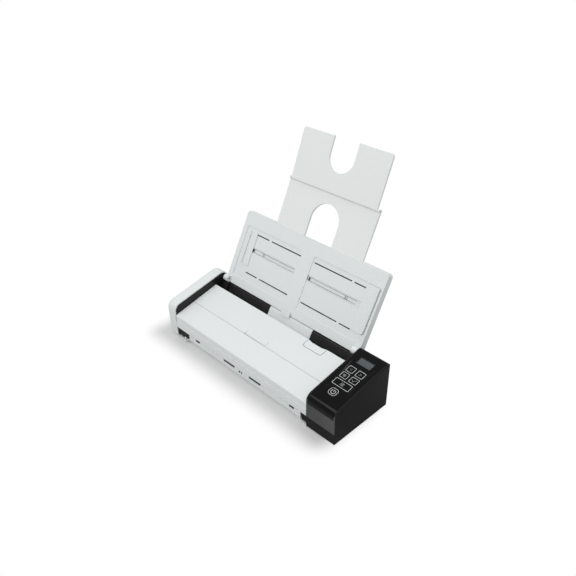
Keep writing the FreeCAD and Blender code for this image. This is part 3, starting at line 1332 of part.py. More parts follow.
def cover_hinge_arms():
    """Two black arms that hang the cover on its pins, in the notches of the front lip."""
    arms = []
    for x in (ARM_LEFT_X, ARM_RIGHT_X):
        boss = rod_x(COVER_PIVOT_Y, COVER_PIVOT_Z, HINGE_BOSS_RADIUS, x, x + ARM_WIDTH)
        stem = box(x, x + ARM_WIDTH, FRONT + COVER_STEP + COVER_WALL + FIT_GAP,
                   EXIT_AXIS[0] - SHAFT_RADIUS - ROLLER_GAP, COVER_PIVOT_Z, COVER_LOW_Z * 2)
        top = skin(x - 1, x + ARM_WIDTH + 1, BODY_DEPTH / 2, HALF_PATH, -BODY_DEPTH, BODY_DEPTH)
        arm = joined([boss, stem.cut(top)])
        arms.append(arm.cut(rod_x(COVER_PIVOT_Y, COVER_PIVOT_Z, HINGE_PIN_RADIUS + SHAFT_GAP, x, x + ARM_WIDTH)))
    return group(arms)


def on_tray(shape):
    """Shape drawn in the tray's own frame, put in place."""
    return turned(shape, TRAY_SLOPE, TRAY_Y, TRAY_Z)


def tray_local(y, z):
    """Tray frame coordinates (u, h) of a place in side view."""
    slope = radians(TRAY_SLOPE)
    dy, dz = y - TRAY_Y, z - TRAY_Z
    return (dy * cos(slope) + dz * sin(slope), -dy * sin(slope) + dz * cos(slope))


def tray_world(u, h):
    slope = radians(TRAY_SLOPE)
    return (TRAY_Y + u * cos(slope) - h * sin(slope), TRAY_Z + u * sin(slope) + h * cos(slope))


EXT_LEFT = EXT_CENTRE_X - EXT_WIDTH / 2
EXT_RIGHT = EXT_CENTRE_X + EXT_WIDTH / 2
LOWER_AXIS = tray_world(LOWER_HINGE_U, -LOWER_HINGE_DEPTH)
LOWER_SLOPE = TRAY_SLOPE + LOWER_TILT
LOWER_FACE = LOWER_HINGE_DEPTH - LOWER_FACE_DEPTH
UPPER_RISE = LOWER_FACE + UPPER_AXIS_RISE
UPPER_AXIS = (
    LOWER_AXIS[0] + UPPER_HINGE * cos(radians(LOWER_SLOPE)) - UPPER_RISE * sin(radians(LOWER_SLOPE)),
    LOWER_AXIS[1] + UPPER_HINGE * sin(radians(LOWER_SLOPE)) + UPPER_RISE * cos(radians(LOWER_SLOPE)),
)
UPPER_SLOPE = LOWER_SLOPE + UPPER_TILT


def rack_slot(gap):
    """Half height of the channel that both racks run in."""
    return RACK_MODULE * RACK_PINION_TEETH / 2 + RACK_MODULE * 1.2 + RACK_WIDTH / 2 + gap


def tray_frame():
    """White paper tray and lid, with its sheet panels, slots, rack channel and the plates' recess."""
    side = [
        (0.0, 0.0, 0.6),
        (TRAY_LENGTH, 0.0, 0.8),
        (TRAY_LENGTH, -TRAY_THICKNESS, 1.6),
        (0.0, -TRAY_FOOT_THICKNESS, 2.0),
    ]
    body = prism_x(side, TRAY_LEFT, TRAY_RIGHT)
    plan = prism_z([(TRAY_LEFT, 0.0, 1.0), (TRAY_RIGHT, 0.0, 1.0), (TRAY_RIGHT, TRAY_LENGTH, TRAY_CORNER),
                    (TRAY_LEFT, TRAY_LENGTH, TRAY_CORNER)], -TRAY_FOOT_THICKNESS - 1, 1.0)
    body = body.common(plan)
    deep = -TRAY_FOOT_THICKNESS - 1
    x0, x1 = EXT_LEFT - RECESS_GAP, EXT_RIGHT + RECESS_GAP
    low = LOWER_HINGE_U - UPPER_HINGE - UPPER_EAR_RADIUS - RECESS_GAP
    recess = prism_z([(x0, low, EXT_CORNER), (x1, low, EXT_CORNER), (x1, TRAY_LENGTH + 1), (x0, TRAY_LENGTH + 1)],
                     deep, -TRAY_FACE)
    relief = box(x0, x1, LOWER_HINGE_U - LOWER_EYE_RADIUS - RECESS_GAP, TRAY_LENGTH + 1, deep, -TRAY_LIP)
    notch = box(x0, x1, TRAY_LENGTH - TRAY_STEP, TRAY_LENGTH + 1, deep, 1.0)
    cutters = [recess, relief, notch]
    for span in (LEFT_PANEL, RIGHT_PANEL):
        cutters.append(prism_z(rect(span[0], span[1], SHEET_PANEL_LOW, SHEET_PANEL_HIGH, SHEET_PANEL_CORNER),
                               -SHEET_PANEL_DEPTH, 1.0))
    for u in LINE_SLOTS_U:
        for a, b in LINE_SLOTS_X:
            cutters.append(box(a, b, u - LINE_SLOT_WIDTH / 2, u + LINE_SLOT_WIDTH / 2,
                               -SHEET_PANEL_DEPTH - LINE_SLOT_DEPTH, 0.0))
    half = rack_slot(RACK_GAP)
    cutters.append(box(RACK_CHANNEL[0], RACK_CHANNEL[1], RACK_MIDDLE_U - half, RACK_MIDDLE_U + half,
                       -SHEET_PANEL_DEPTH - RACK_THICKNESS - 2 * RACK_GAP, -SHEET_PANEL_DEPTH))
    body = body.cut(cutters)
    pivot_u, pivot_h = tray_local(TRAY_PIVOT_Y, TRAY_PIVOT_Z)
    pieces = [body]
    for x in (TRAY_LEFT, TRAY_RIGHT - TRAY_BOSS_WIDTH):
        pieces.append(rod_x(pivot_u, pivot_h, TRAY_BOSS_RADIUS, x, x + TRAY_BOSS_WIDTH))
    post_low = -SHEET_PANEL_DEPTH - RACK_THICKNESS - 2 * RACK_GAP
    pieces.append(rod_z(RACK_PINION_X, RACK_MIDDLE_U, RACK_POST_RADIUS, post_low, -SHEET_PANEL_DEPTH))
    arch_left = EXT_CENTRE_X - ARCH_HALF_WIDTH
    arch_right = EXT_CENTRE_X + ARCH_HALF_WIDTH
    for x in (arch_left + RACK_GAP * 2, arch_right - RACK_GAP * 2 - LUG_WIDTH):
        lug = rod_x(LOWER_HINGE_U, -LOWER_HINGE_DEPTH, LOWER_EYE_RADIUS, x, x + LUG_WIDTH)
        web = box(x, x + LUG_WIDTH, LOWER_HINGE_U - LOWER_EYE_RADIUS, LOWER_HINGE_U + LOWER_EYE_RADIUS,
                  -LOWER_HINGE_DEPTH, -TRAY_LIP / 2)
        pieces.append(lug)
        pieces.append(web)
    body = joined(pieces)
    bores = [rod_x(LOWER_HINGE_U, -LOWER_HINGE_DEPTH, EXT_PIN_RADIUS, *span) for span in lower_pin_spans()]
    for x in (TRAY_LEFT, TRAY_RIGHT - TRAY_BOSS_WIDTH):
        bores.append(rod_x(pivot_u, pivot_h, TRAY_PIN_RADIUS + SHAFT_GAP, x, x + TRAY_BOSS_WIDTH))
    return on_tray(body.cut(bores))


def lower_pin_spans():
    """X spans of the two rods that the lower plate turns on, from the recess wall to the middle lugs."""
    reach = RECESS_GAP + PIN_SEAT
    arch_left = EXT_CENTRE_X - ARCH_HALF_WIDTH
    arch_right = EXT_CENTRE_X + ARCH_HALF_WIDTH
    return (
        (EXT_LEFT - reach, arch_left + RACK_GAP * 2 + LUG_WIDTH),
        (arch_right - RACK_GAP * 2 - LUG_WIDTH, EXT_RIGHT + reach),
    )


def extension_pins():
    """Two steel rods of the lower plate's hinge."""
    return group([on_tray(rod_x(LOWER_HINGE_U, -LOWER_HINGE_DEPTH, EXT_PIN_RADIUS, *span))
                  for span in lower_pin_spans()])


def extension_lower():
    """Lower paper plate with its arch, four hinge eyes and two ears for the upper plate."""
    face = LOWER_FACE
    back = face - LOWER_THICKNESS
    plate = prism_z([(EXT_LEFT, EYE_STEP), (EXT_RIGHT, EYE_STEP), (EXT_RIGHT, LOWER_LENGTH, EXT_TOP_CORNER),
                     (EXT_LEFT, LOWER_LENGTH, EXT_TOP_CORNER)], back, face)
    arch_left = EXT_CENTRE_X - ARCH_HALF_WIDTH
    arch_right = EXT_CENTRE_X + ARCH_HALF_WIDTH
    round_top = ARCH_HALF_WIDTH - 0.1
    arch = prism_z([(arch_left, -5.0), (arch_left, ARCH_TOP, round_top), (arch_right, ARCH_TOP, round_top),
                    (arch_right, -5.0)], back - 1, face + 1)
    plate = plate.cut(arch)
    pieces = [plate]
    for x in (EXT_LEFT + RACK_GAP, arch_left - LOWER_EYE_WIDTH, arch_right, EXT_RIGHT - RACK_GAP - LOWER_EYE_WIDTH):
        pieces.append(rod_x(0.0, 0.0, LOWER_EYE_RADIUS, x, x + LOWER_EYE_WIDTH))
        pieces.append(box(x, x + LOWER_EYE_WIDTH, 0.0, EYE_STEP + 1.0, back, LOWER_EYE_RADIUS))
    for x in (EXT_LEFT, EXT_RIGHT - UPPER_INSET + UPPER_SIDE_GAP):
        ear = rod_x(UPPER_HINGE, UPPER_RISE, UPPER_EAR_RADIUS, x, x + UPPER_INSET - UPPER_SIDE_GAP)
        web = box(x, x + UPPER_INSET - UPPER_SIDE_GAP, UPPER_HINGE - UPPER_EAR_RADIUS,
                  UPPER_HINGE + UPPER_EAR_RADIUS, face - 1.0, UPPER_RISE)
        root = box(x, x + UPPER_INSET - UPPER_SIDE_GAP, LOWER_LENGTH - EXT_TOP_CORNER * 2,
                   UPPER_HINGE + UPPER_EAR_RADIUS, back, face)
        pieces.extend([ear, web, root])
    body = joined(pieces)
    bores = [
        rod_x(0.0, 0.0, EXT_PIN_RADIUS + SHAFT_GAP, EXT_LEFT - 1, EXT_RIGHT + 1),
        rod_x(UPPER_HINGE, UPPER_RISE, UPPER_PIN_RADIUS + SHAFT_GAP, EXT_LEFT - 1, EXT_RIGHT + 1),
    ]
    return turned(body.cut(bores), LOWER_SLOPE, *LOWER_AXIS)


def extension_upper():
    """Upper paper plate with its open notch and a hinge stub on each side."""
    x0, x1 = EXT_LEFT + UPPER_INSET, EXT_RIGHT - UPPER_INSET
    half = UPPER_THICKNESS / 2
    side = [(-half, -half, half * 0.98), (UPPER_LENGTH, -half, 0.5), (UPPER_LENGTH, half, 0.5),
            (-half, half, half * 0.98)]
    plan = prism_z([(x0, -5.0), (x1, -5.0), (x1, UPPER_LENGTH, EXT_TOP_CORNER), (x0, UPPER_LENGTH, EXT_TOP_CORNER)],
                   -half, half)
    left = EXT_CENTRE_X - NOTCH_HALF_WIDTH
    right = EXT_CENTRE_X + NOTCH_HALF_WIDTH
    radius = NOTCH_HALF_WIDTH - 0.1
    notch = prism_z([(left, UPPER_LENGTH + 5), (left, NOTCH_LOW, radius), (right, NOTCH_LOW, radius),
                     (right, UPPER_LENGTH + 5)], -half - 1, half + 1)
    body = prism_x(side, x0, x1).common(plan).cut(notch)
    stub = UPPER_INSET - UPPER_SIDE_GAP
    stubs = [
        rod_x(0.0, 0.0, UPPER_PIN_RADIUS, x0 - stub, x0 + 1.0),
        rod_x(0.0, 0.0, UPPER_PIN_RADIUS, x1 - 1.0, x1 + stub),
    ]
    return turned(joined([body] + stubs), UPPER_SLOPE, *UPPER_AXIS)


def rack(x0, x1, side, teeth_from, teeth_to):
    """Toothed bar on one side (1 upper, -1 lower) of the pinion, with a gap over the pinion's middle."""
    pitch = pi * RACK_MODULE
    pitch_u = RACK_MODULE * RACK_PINION_TEETH / 2
    slant = tan(radians(PRESSURE_ANGLE)) * RACK_MODULE
    half = pitch / 4 - RACK_BACKLASH / 2
    tip = pitch_u - RACK_MODULE * 0.8
    root = pitch_u + RACK_MODULE * 1.2
    points = [(x0, root + RACK_WIDTH / 2), (x0, root)]
    index = int((teeth_from - RACK_PINION_X) / pitch) - 1
    while RACK_PINION_X + (index + 0.5) * pitch + pitch / 2 < teeth_to:
        middle = RACK_PINION_X + (index + 0.5) * pitch
        if middle - pitch / 2 > max(x0, teeth_from):
            points.append((middle - half - slant, root))
            points.append((middle - half + slant * 0.8, tip))
            points.append((middle + half - slant * 0.8, tip))
            points.append((middle + half + slant, root))
        index += 1
    points.append((x1, root))
    points.append((x1, root + RACK_WIDTH / 2))
    high = -SHEET_PANEL_DEPTH - RACK_GAP
    corners = [(x, RACK_MIDDLE_U + side * u) for x, u in points]
    return prism_z(corners, high - RACK_THICKNESS, high)


def guide(plan, side):
    """Paper guide: ledge on the sheet panel, outer fence and rack (side 1 right guide, -1 left guide)."""
    x0, x1, u0, u1 = plan
    low = -SHEET_PANEL_DEPTH + RACK_GAP
    corner_right = GUIDE_CORNER if side > 0 else 1.0
    corner_left = GUIDE_CORNER if side < 0 else 1.0
    outline_plan = [(x0, u0, corner_left), (x1, u0, corner_right), (x1, u1, 1.0), (x0, u1, 1.0)]
    ledge = prism_z(outline_plan, low, low + GUIDE_BASE)
    tall = prism_z(outline_plan, low, low + FENCE_HEIGHT)
    if side > 0:
        fence = tall.common(box(x1 - FENCE_WIDTH, x1, u0, u1, low, low + FENCE_HEIGHT))
        start, stop = RACK_PINION_X - RACK_END, x0 + RACK_ROOT
        teeth = (start, RACK_PINION_X + GUIDE_TRAVEL + RACK_END / 2)
        web = (x0 + 1.0, x0 + RACK_ROOT)
    else:
        fence = tall.common(box(x0, x0 + FENCE_WIDTH, u0, u1, low, low + FENCE_HEIGHT))
        start, stop = x1 - RACK_ROOT, RACK_PINION_X + RACK_END
        teeth = (RACK_PINION_X - GUIDE_TRAVEL - RACK_END / 2, stop)
        web = (x1 - RACK_ROOT, x1 - 1.0)
    bar = rack(start, stop, -side, *teeth)
    root = RACK_MODULE * RACK_PINION_TEETH / 2 + RACK_MODULE * 1.2
    near = RACK_MIDDLE_U - side * root
    far = RACK_MIDDLE_U - side * (root + RACK_WIDTH / 2)
    high = -SHEET_PANEL_DEPTH - RACK_GAP
    stem = box(web[0], web[1], min(near, far), max(near, far), high - RACK_THICKNESS, low + GUIDE_BASE / 2)
    return on_tray(joined([ledge, fence, bar, stem]))


def guide_right():
    return guide(RIGHT_GUIDE, 1)


def guide_left():
    return guide(LEFT_GUIDE, -1)


def guide_pinion():
    """Small pinion between the two racks, under the middle band of the tray."""
    radius = RACK_MODULE * RACK_PINION_TEETH / 2
    tip = radius + RACK_MODULE * 0.75
    root = radius - RACK_MODULE * 1.0
    half = pi / (2 * RACK_PINION_TEETH) - RACK_BACKLASH / 2 / radius
    points = []
    for tooth in range(RACK_PINION_TEETH):
        middle = 2 * pi * tooth / RACK_PINION_TEETH + pi / 2
        for turn, reach in ((-half * 1.5, root), (-half, radius), (-half * 0.35, tip),
                            (half * 0.35, tip), (half, radius), (half * 1.5, root)):
            points.append((RACK_PINION_X + reach * cos(middle + turn), RACK_MIDDLE_U + reach * sin(middle + turn)))
    high = -SHEET_PANEL_DEPTH - RACK_GAP
    wheel = prism_z(points, high - RACK_THICKNESS, high)
    bore = rod_z(RACK_PINION_X, RACK_MIDDLE_U, RACK_POST_RADIUS + SHAFT_GAP, high - RACK_THICKNESS, high)
    return on_tray(wheel.cut(bore))


def base_screws():
    """Four screws that hold the end caps' side plates to the base, from below."""
    screws = []
    for x, y in screw_places():
        head = rod_z(x, y, SCREW_HEAD_RADIUS, LOW - SCREW_HEAD, LOW)
        thread = rod_z(x, y, SCREW_RADIUS, LOW, LOW + BASE_WALL)
        screws.append(joined([head, thread]))
    return group(screws)


def main():
    os.makedirs("parts", exist_ok=True)
    feed_shaft, feed_tyres = roller(FEED_AXIS, FEED_RADIUS, feed_spans(), SHAFT_LEFT, GEAR_X + GEAR_WIDTH + 1.0)
    drive_shaft, drive_tyres = roller(DRIVE_AXIS, DRIVE_RADIUS, tyre_spans(), SHAFT_LEFT, GEAR_X + GEAR_WIDTH + 1.0)
    exit_shaft, exit_tyres = roller(EXIT_AXIS, EXIT_RADIUS, tyre_spans(), SHAFT_LEFT, GEAR_X + GEAR_WIDTH + 1.0)
    post_bore = POST_RADIUS + SHAFT_GAP
    nodes = {
        "base_shell": base_shell(),
        "left_end_cap": left_end_cap(),
        "left_side_plate": left_side_plate(),
        "right_end_cap": right_end_cap(),
        "right_side_plate": right_side_plate(),
        "control_panel": control_panel(),
        "lcd_window": lcd_window(),
        "lcd_module": lcd_module(),
        "panel_board": panel_board(),
        "paper_bed": paper_bed(),
        "rear_guide": rear_guide(),
        "pick_cover": pick_cover(),
        "lower_scan_unit": lower_scan_unit(),
        "lower_scan_glass": lower_scan_glass(),
        "main_board": main_board(),
        "usb_socket": usb_socket(),
        "dc_socket": dc_socket(),
        "drive_motor": drive_motor(),
        "roller_bushes": roller_bushes(),
        "gear_posts": gear_posts(),
        "cover_hinge_pins": cover_hinge_pins(),
        "tray_hinge_pins": tray_hinge_pins(),
        "rubber_feet": rubber_feet(),
        "base_screws": base_screws(),
        "feed_shaft": feed_shaft,
        "feed_tyres": feed_tyres,
        "feed_gear": gear(FEED_AXIS, FEED_TEETH, FEED_PHASE, SHAFT_RADIUS),
        "drive_shaft": drive_shaft,
        "drive_tyres": drive_tyres,
        "drive_gear": gear(DRIVE_AXIS, DRIVE_TEETH, DRIVE_PHASE, SHAFT_RADIUS),
        "exit_shaft": exit_shaft,
        "exit_tyres": exit_tyres,
        "exit_gear": gear(EXIT_AXIS, EXIT_TEETH, EXIT_PHASE, SHAFT_RADIUS),
        "large_idler": large_idler(),
        "small_idler": gear(SMALL_IDLER_AXIS, SMALL_IDLER_TEETH, SMALL_IDLER_PHASE, post_bore),
        "motor_pinion": motor_pinion(),
        "cover_front_shell": front_shell(),
        "cover_rear_panel": rear_panel(),
        "cover_inner_guide": inner_guide(),
        "cover_hinge_arms": cover_hinge_arms(),
        "upper_scan_unit": upper_scan_unit(),
        "upper_scan_glass": upper_scan_glass(),
        "separation_pad": separation_pad(),
        "exit_pinch_rollers": pinch_rollers(EXIT_PINCH_AXIS),
        "drive_pinch_rollers": pinch_rollers(DRIVE_PINCH_AXIS),
        "release_button": release_button(),
        "cover_latch": cover_latch(),
        "tray_frame": tray_frame(),
        "guide_left": guide_left(),
        "guide_right": guide_right(),
        "guide_pinion": guide_pinion(),
        "extension_lower": extension_lower(),
        "extension_upper": extension_upper(),
        "extension_pins": extension_pins(),
    }
    for key in KEYS:
        nodes[key[0]] = panel_key(key)
    for name, shape in nodes.items():
        save(name, shape)


main()
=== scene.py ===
"""Looks of a portable document scanner: finishes, key symbols, small trim and the studio."""

from math import atan2, cos, pi, radians, sin

import bmesh
import bpy
from bpy.props import FloatProperty, FloatVectorProperty, PointerProperty
from mathutils import Matrix, Vector


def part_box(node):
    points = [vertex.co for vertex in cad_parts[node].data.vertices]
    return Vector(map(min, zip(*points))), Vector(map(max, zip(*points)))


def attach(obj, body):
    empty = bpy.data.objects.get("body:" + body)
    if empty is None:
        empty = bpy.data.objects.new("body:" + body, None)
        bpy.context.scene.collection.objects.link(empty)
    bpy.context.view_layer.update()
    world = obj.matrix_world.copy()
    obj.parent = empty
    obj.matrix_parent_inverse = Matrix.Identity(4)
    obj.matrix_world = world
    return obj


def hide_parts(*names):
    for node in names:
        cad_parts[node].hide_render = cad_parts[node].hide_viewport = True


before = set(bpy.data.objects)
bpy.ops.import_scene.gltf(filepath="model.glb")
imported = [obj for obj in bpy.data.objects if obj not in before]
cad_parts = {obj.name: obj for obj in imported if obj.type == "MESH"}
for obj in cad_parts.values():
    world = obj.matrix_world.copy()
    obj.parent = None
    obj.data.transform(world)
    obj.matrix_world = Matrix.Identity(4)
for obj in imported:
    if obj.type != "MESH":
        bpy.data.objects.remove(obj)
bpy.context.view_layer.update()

bl_info = {
    "name": "Document scanner looks",
    "version": (1, 0, 0),
    "blender": (4, 5, 0),
    "location": "3D View > Sidebar > Scanner",
    "description": "Dresses the scanner's solids with finishes, symbols and a studio",
    "category": "Object",
}

MM = 0.001


def linear(red, green, blue):
    """Scene colour of a colour that is given in the 0 to 255 steps of a picture."""
    out = []
    for step in (red, green, blue):
        share = step / 255.0
        out.append(share / 12.92 if share <= 0.04045 else ((share + 0.055) / 1.055) ** 2.4)
    return tuple(out)


class ScannerColours(bpy.types.PropertyGroup):
    """Colours of the scanner's materials."""

    white: FloatVectorProperty(
        name="White shell", description="Moulded white of the base, caps and cover", subtype="COLOR",
        size=3, min=0, max=1, default=linear(222, 226, 226))
    tray: FloatVectorProperty(
        name="White tray", description="Moulded white of the paper tray and its guides", subtype="COLOR",
        size=3, min=0, max=1, default=linear(223, 227, 227))
    plate: FloatVectorProperty(
        name="White plates", description="White of the two extension plates", subtype="COLOR",
        size=3, min=0, max=1, default=linear(230, 233, 231))
    black: FloatVectorProperty(
        name="Black cap", description="Textured black of the right end cap", subtype="COLOR",
        size=3, min=0, max=1, default=linear(27, 26, 26))
    guide: FloatVectorProperty(
        name="Black guide", description="Textured black of the paper guides", subtype="COLOR",
        size=3, min=0, max=1, default=linear(24, 23, 24))
    gloss: FloatVectorProperty(
        name="Glossy panel", description="Polished black of the control panel and its keys", subtype="COLOR",
        size=3, min=0, max=1, default=linear(10, 10, 11))
    print_light: FloatVectorProperty(
        name="Key print", description="Light grey of the symbols and outlines on the keys", subtype="COLOR",
        size=3, min=0, max=1, default=linear(196, 199, 200))
    display: FloatVectorProperty(
        name="Display", description="Face of the display behind its window", subtype="COLOR",
        size=3, min=0, max=1, default=linear(120, 128, 132))


class ScannerSizes(bpy.types.PropertyGroup):
    """Sizes of the details that the looks add, in metres."""

    grain: FloatProperty(
        name="Moulded grain", description="Width of the fine grain on the white plastic",
        default=0.45 * MM, min=0.05 * MM, max=3 * MM, unit="LENGTH")
    coarse_grain: FloatProperty(
        name="Black grain", description="Width of the grain on the textured black plastic",
        default=0.7 * MM, min=0.05 * MM, max=3 * MM, unit="LENGTH")
    edge: FloatProperty(
        name="Softened edges", description="Radius at which the light rounds a moulded edge",
        default=0.3 * MM, min=0.0, max=2 * MM, unit="LENGTH")
    print_width: FloatProperty(
        name="Print line", description="Width of the printed lines on the keys",
        default=0.55 * MM, min=0.1 * MM, max=2 * MM, unit="LENGTH")
    print_height: FloatProperty(
        name="Print height", description="Thickness of the printed lines",
        default=0.04 * MM, min=0.01 * MM, max=0.2 * MM, unit="LENGTH")


class ScannerStudio(bpy.types.PropertyGroup):
    """Lamps and the camera."""

    azimuth: FloatProperty(name="Camera azimuth", description="Camera's turn about the scanner",
                           default=radians(48.47), subtype="ANGLE", unit="ROTATION")
    elevation: FloatProperty(name="Camera elevation", description="Camera's height angle",
                             default=radians(36.99), subtype="ANGLE", unit="ROTATION")
    roll: FloatProperty(name="Camera roll", description="Camera's tilt about its own axis",
                        default=radians(-2.77), subtype="ANGLE", unit="ROTATION")
    distance: FloatProperty(name="Camera distance", description="From the middle of the body to the camera",
                            default=819.5 * MM, min=0.1, unit="LENGTH")
    focal: FloatProperty(name="Focal length", description="Lens for a sensor 36 mm wide, in millimetres",
                         default=640.25 / 576 * 36, min=10, max=200)
    shift_x: FloatProperty(name="Shift X", description="Sideways shift of the picture", default=19.97 / 576)
    shift_y: FloatProperty(name="Shift Y", description="Upward shift of the picture", default=41.2 / 576)
    key_light: FloatProperty(name="Main lamp", description="Power of the large soft lamp, in watts",
                             default=5.0, min=0)
    fill_light: FloatProperty(name="Fill lamp", description="Power of the lamp on the other side, in watts",
                              default=9.0, min=0)
    sky: FloatProperty(name="Room light", description="Strength of the room's even light", default=0.55, min=0)


class Wire:
    """An output of a material's nodes. Arithmetic on it adds Math nodes."""

    def __init__(self, surface, socket):
        self.surface = surface
        self.socket = socket

    def reckon(self, operation, first, second):
        """Output of a Math node over two wires or numbers."""
        return self.surface.add("ShaderNodeMath", {"operation": operation}, {0: first, 1: second})["Value"]

    def __add__(self, other):
        return self.reckon("ADD", self, other)

    def __radd__(self, other):
        return self.reckon("ADD", other, self)

    def __sub__(self, other):
        return self.reckon("SUBTRACT", self, other)

    def __rsub__(self, other):
        return self.reckon("SUBTRACT", other, self)

    def __mul__(self, other):
        return self.reckon("MULTIPLY", self, other)

    def __rmul__(self, other):
        return self.reckon("MULTIPLY", other, self)

    def __gt__(self, other):
        return self.reckon("GREATER_THAN", self, other)

    def __lt__(self, other):
        return self.reckon("LESS_THAN", self, other)


class Surface:
    """A material whose nodes are added one by one."""

    def __init__(self, name):
        self.material = bpy.data.materials.new(name)
        self.material.use_nodes = True
        self.tree = self.material.node_tree
        self.tree.nodes.clear()
        self.place = self.add("ShaderNodeTexCoord")["Object"]

    def add(self, kind, settings=None, values=None):
        """Adds a node, sets it up and returns its outputs by name or number."""
        node = self.tree.nodes.new(kind)
        for key, value in (settings or {}).items():
            if key == "stops":
                ramp = node.color_ramp
                while len(ramp.elements) < len(value):
                    ramp.elements.new(0.5)
                for element, (position, colour) in zip(ramp.elements, value):
                    element.position = position
                    element.color = colour
            else:
                setattr(node, key, value)
        for key, value in (values or {}).items():
            if isinstance(value, Wire):
                self.tree.links.new(value.socket, node.inputs[key])
            else:
                node.inputs[key].default_value = value
        outputs = {}
        for number, socket in enumerate(node.outputs):
            outputs.setdefault(socket.name, Wire(self, socket))
            outputs[number] = Wire(self, socket)
        return outputs

    def noise(self, width, detail=2.0, roughness=0.5, stretch=None):
        """Noise whose blotches are about as wide as given, in metres, from 0 to 1."""
        place = self.place
        if stretch:
            place = self.add("ShaderNodeMapping", None, {"Vector": place, "Scale": stretch})["Vector"]
        return self.add("ShaderNodeTexNoise", None, {
            "Vector": place, "Scale": 1.0 / width, "Detail": detail, "Roughness": roughness})["Fac"]

    def mix(self, share, first, second):
        """Colour between two colours."""
        mixed = self.add("ShaderNodeMix", {"data_type": "RGBA"}, {0: share, 6: first, 7: second})
        return mixed[2]

    def bump(self, height, depth, strength=1.0, edge=0.0):
        """Normal of a relief of the given depth in metres, over edges that are softened by a radius."""
        values = {"Height": height, "Distance": depth, "Strength": strength}
        if edge:
            values["Normal"] = self.add("ShaderNodeBevel", {"samples": 6}, {"Radius": edge})["Normal"]
        return self.add("ShaderNodeBump", None, values)["Normal"]

    def finish(self, **sockets):
        """Adds the shader and the output. Spaces in socket names are written as underscores."""
        values = {key.replace("_", " "): value for key, value in sockets.items()}
        shader = self.add("ShaderNodeBsdfPrincipled", None, values)["BSDF"]
        self.add("ShaderNodeOutputMaterial", None, {"Surface": shader})
        return self.material


def colour4(colour, factor=1.0):
    return tuple(min(c * factor, 1.0) for c in colour) + (1.0,)


def moulded(name, colour, roughness, grain, depth, edge, blotch=0.03, gloss=0.5):
    """Moulded plastic with a fine spark-eroded grain and slight unevenness."""
    surface = Surface(name)
    fine = surface.noise(grain, detail=3.0)
    broad = surface.noise(35 * MM, detail=3.0)
    base = surface.mix(broad, colour4(colour, 1.0 - blotch), colour4(colour, 1.0 + blotch * 0.6))
    rough = roughness - 0.07 + fine * 0.07 + broad * 0.07
    return surface.finish(Base_Color=base, Roughness=rough, Specular_IOR_Level=gloss,
                          Normal=surface.bump(fine, depth, 0.6, edge))


def polished(name, colour, roughness, edge, wave=0.004 * MM):
    """Polished plastic, with the faint waves and specks of a moulded gloss face."""
    surface = Surface(name)
    broad = surface.noise(9 * MM, detail=1.0)
    specks = surface.noise(0.5 * MM, detail=2.0)
    base = surface.mix(specks, colour4(colour, 0.9), colour4(colour, 1.15))
    return surface.finish(Base_Color=base, Roughness=roughness + specks * 0.04,
                          Normal=surface.bump(broad, wave, 0.5, edge), Specular_IOR_Level=0.14)


def rubber(name, colour, rib=0.0):
    """Matt rubber, with ground ribs along the axis where rib gives their width."""
    surface = Surface(name)
    grit = surface.noise(0.5 * MM, detail=4.0)
    base = surface.mix(grit, colour4(colour, 0.75), colour4(colour, 1.5))
    height = grit
    if rib:
        along = surface.add("ShaderNodeTexWave", {"wave_type": "BANDS", "bands_direction": "X"},
                            {"Vector": surface.place, "Scale": 0.32 / rib, "Distortion": 0.4})["Fac"]
        height = grit * 0.4 + along * 0.6
    return surface.finish(Base_Color=base, Roughness=0.62 + grit * 0.2, Normal=surface.bump(height, 0.06 * MM, 0.7))


def ground_steel(name, colour, roughness=0.28):
    """Steel ground round its axis."""
    surface = Surface(name)
    lines = surface.noise(0.25 * MM, detail=4.0, stretch=(1.0, 0.08, 0.08))
    base = surface.mix(lines, colour4(colour, 0.85), colour4(colour, 1.08))
    return surface.finish(Base_Color=base, Metallic=1.0, Roughness=roughness + lines * 0.15,
                          Normal=surface.bump(lines, 0.01 * MM, 0.5))


def clear_pane(name, colour, alpha, roughness=0.04):
    """Thin clear plastic or glass, with faint dust on it."""
    surface = Surface(name)
    dust = surface.noise(6 * MM, detail=5.0)
    return surface.finish(Base_Color=colour4(colour), Roughness=roughness + dust * 0.05,
                          Alpha=alpha + dust * 0.06, Coat_Weight=0.5, Coat_Roughness=0.02)


def circuit(name, colour):
    """Lacquered board with darker fields and brighter conductor lines."""
    surface = Surface(name)
    cells = surface.add("ShaderNodeTexVoronoi", {"distance": "MANHATTAN", "feature": "F1"},
                        {"Vector": surface.place, "Scale": 210.0, "Randomness": 0.6})["Distance"]
    lines = (cells * 210.0 > 60.0) * 0.0 + surface.add(
        "ShaderNodeTexBrick", {"offset": 0.5},
        {"Vector": surface.place, "Scale": 260.0, "Mortar Size": 0.05, "Brick Width": 0.9, "Row Height": 0.3})["Fac"]
    grit = surface.noise(3 * MM, detail=3.0)
    base = surface.mix(lines * 0.5 + grit * 0.3, colour4(colour, 0.8), colour4(colour, 2.2))
    return surface.finish(Base_Color=base, Roughness=0.3 + grit * 0.15, Coat_Weight=0.3,
                          Normal=surface.bump(lines, 0.03 * MM, 0.6))


FINISHES = {}


def dress(finish, *nodes):
    """Gives a material to solids of the frame."""
    for node in nodes:
        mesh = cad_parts[node].data
        mesh.materials.clear()
        mesh.materials.append(FINISHES[finish])


SMOOTH_BELOW = radians(32)


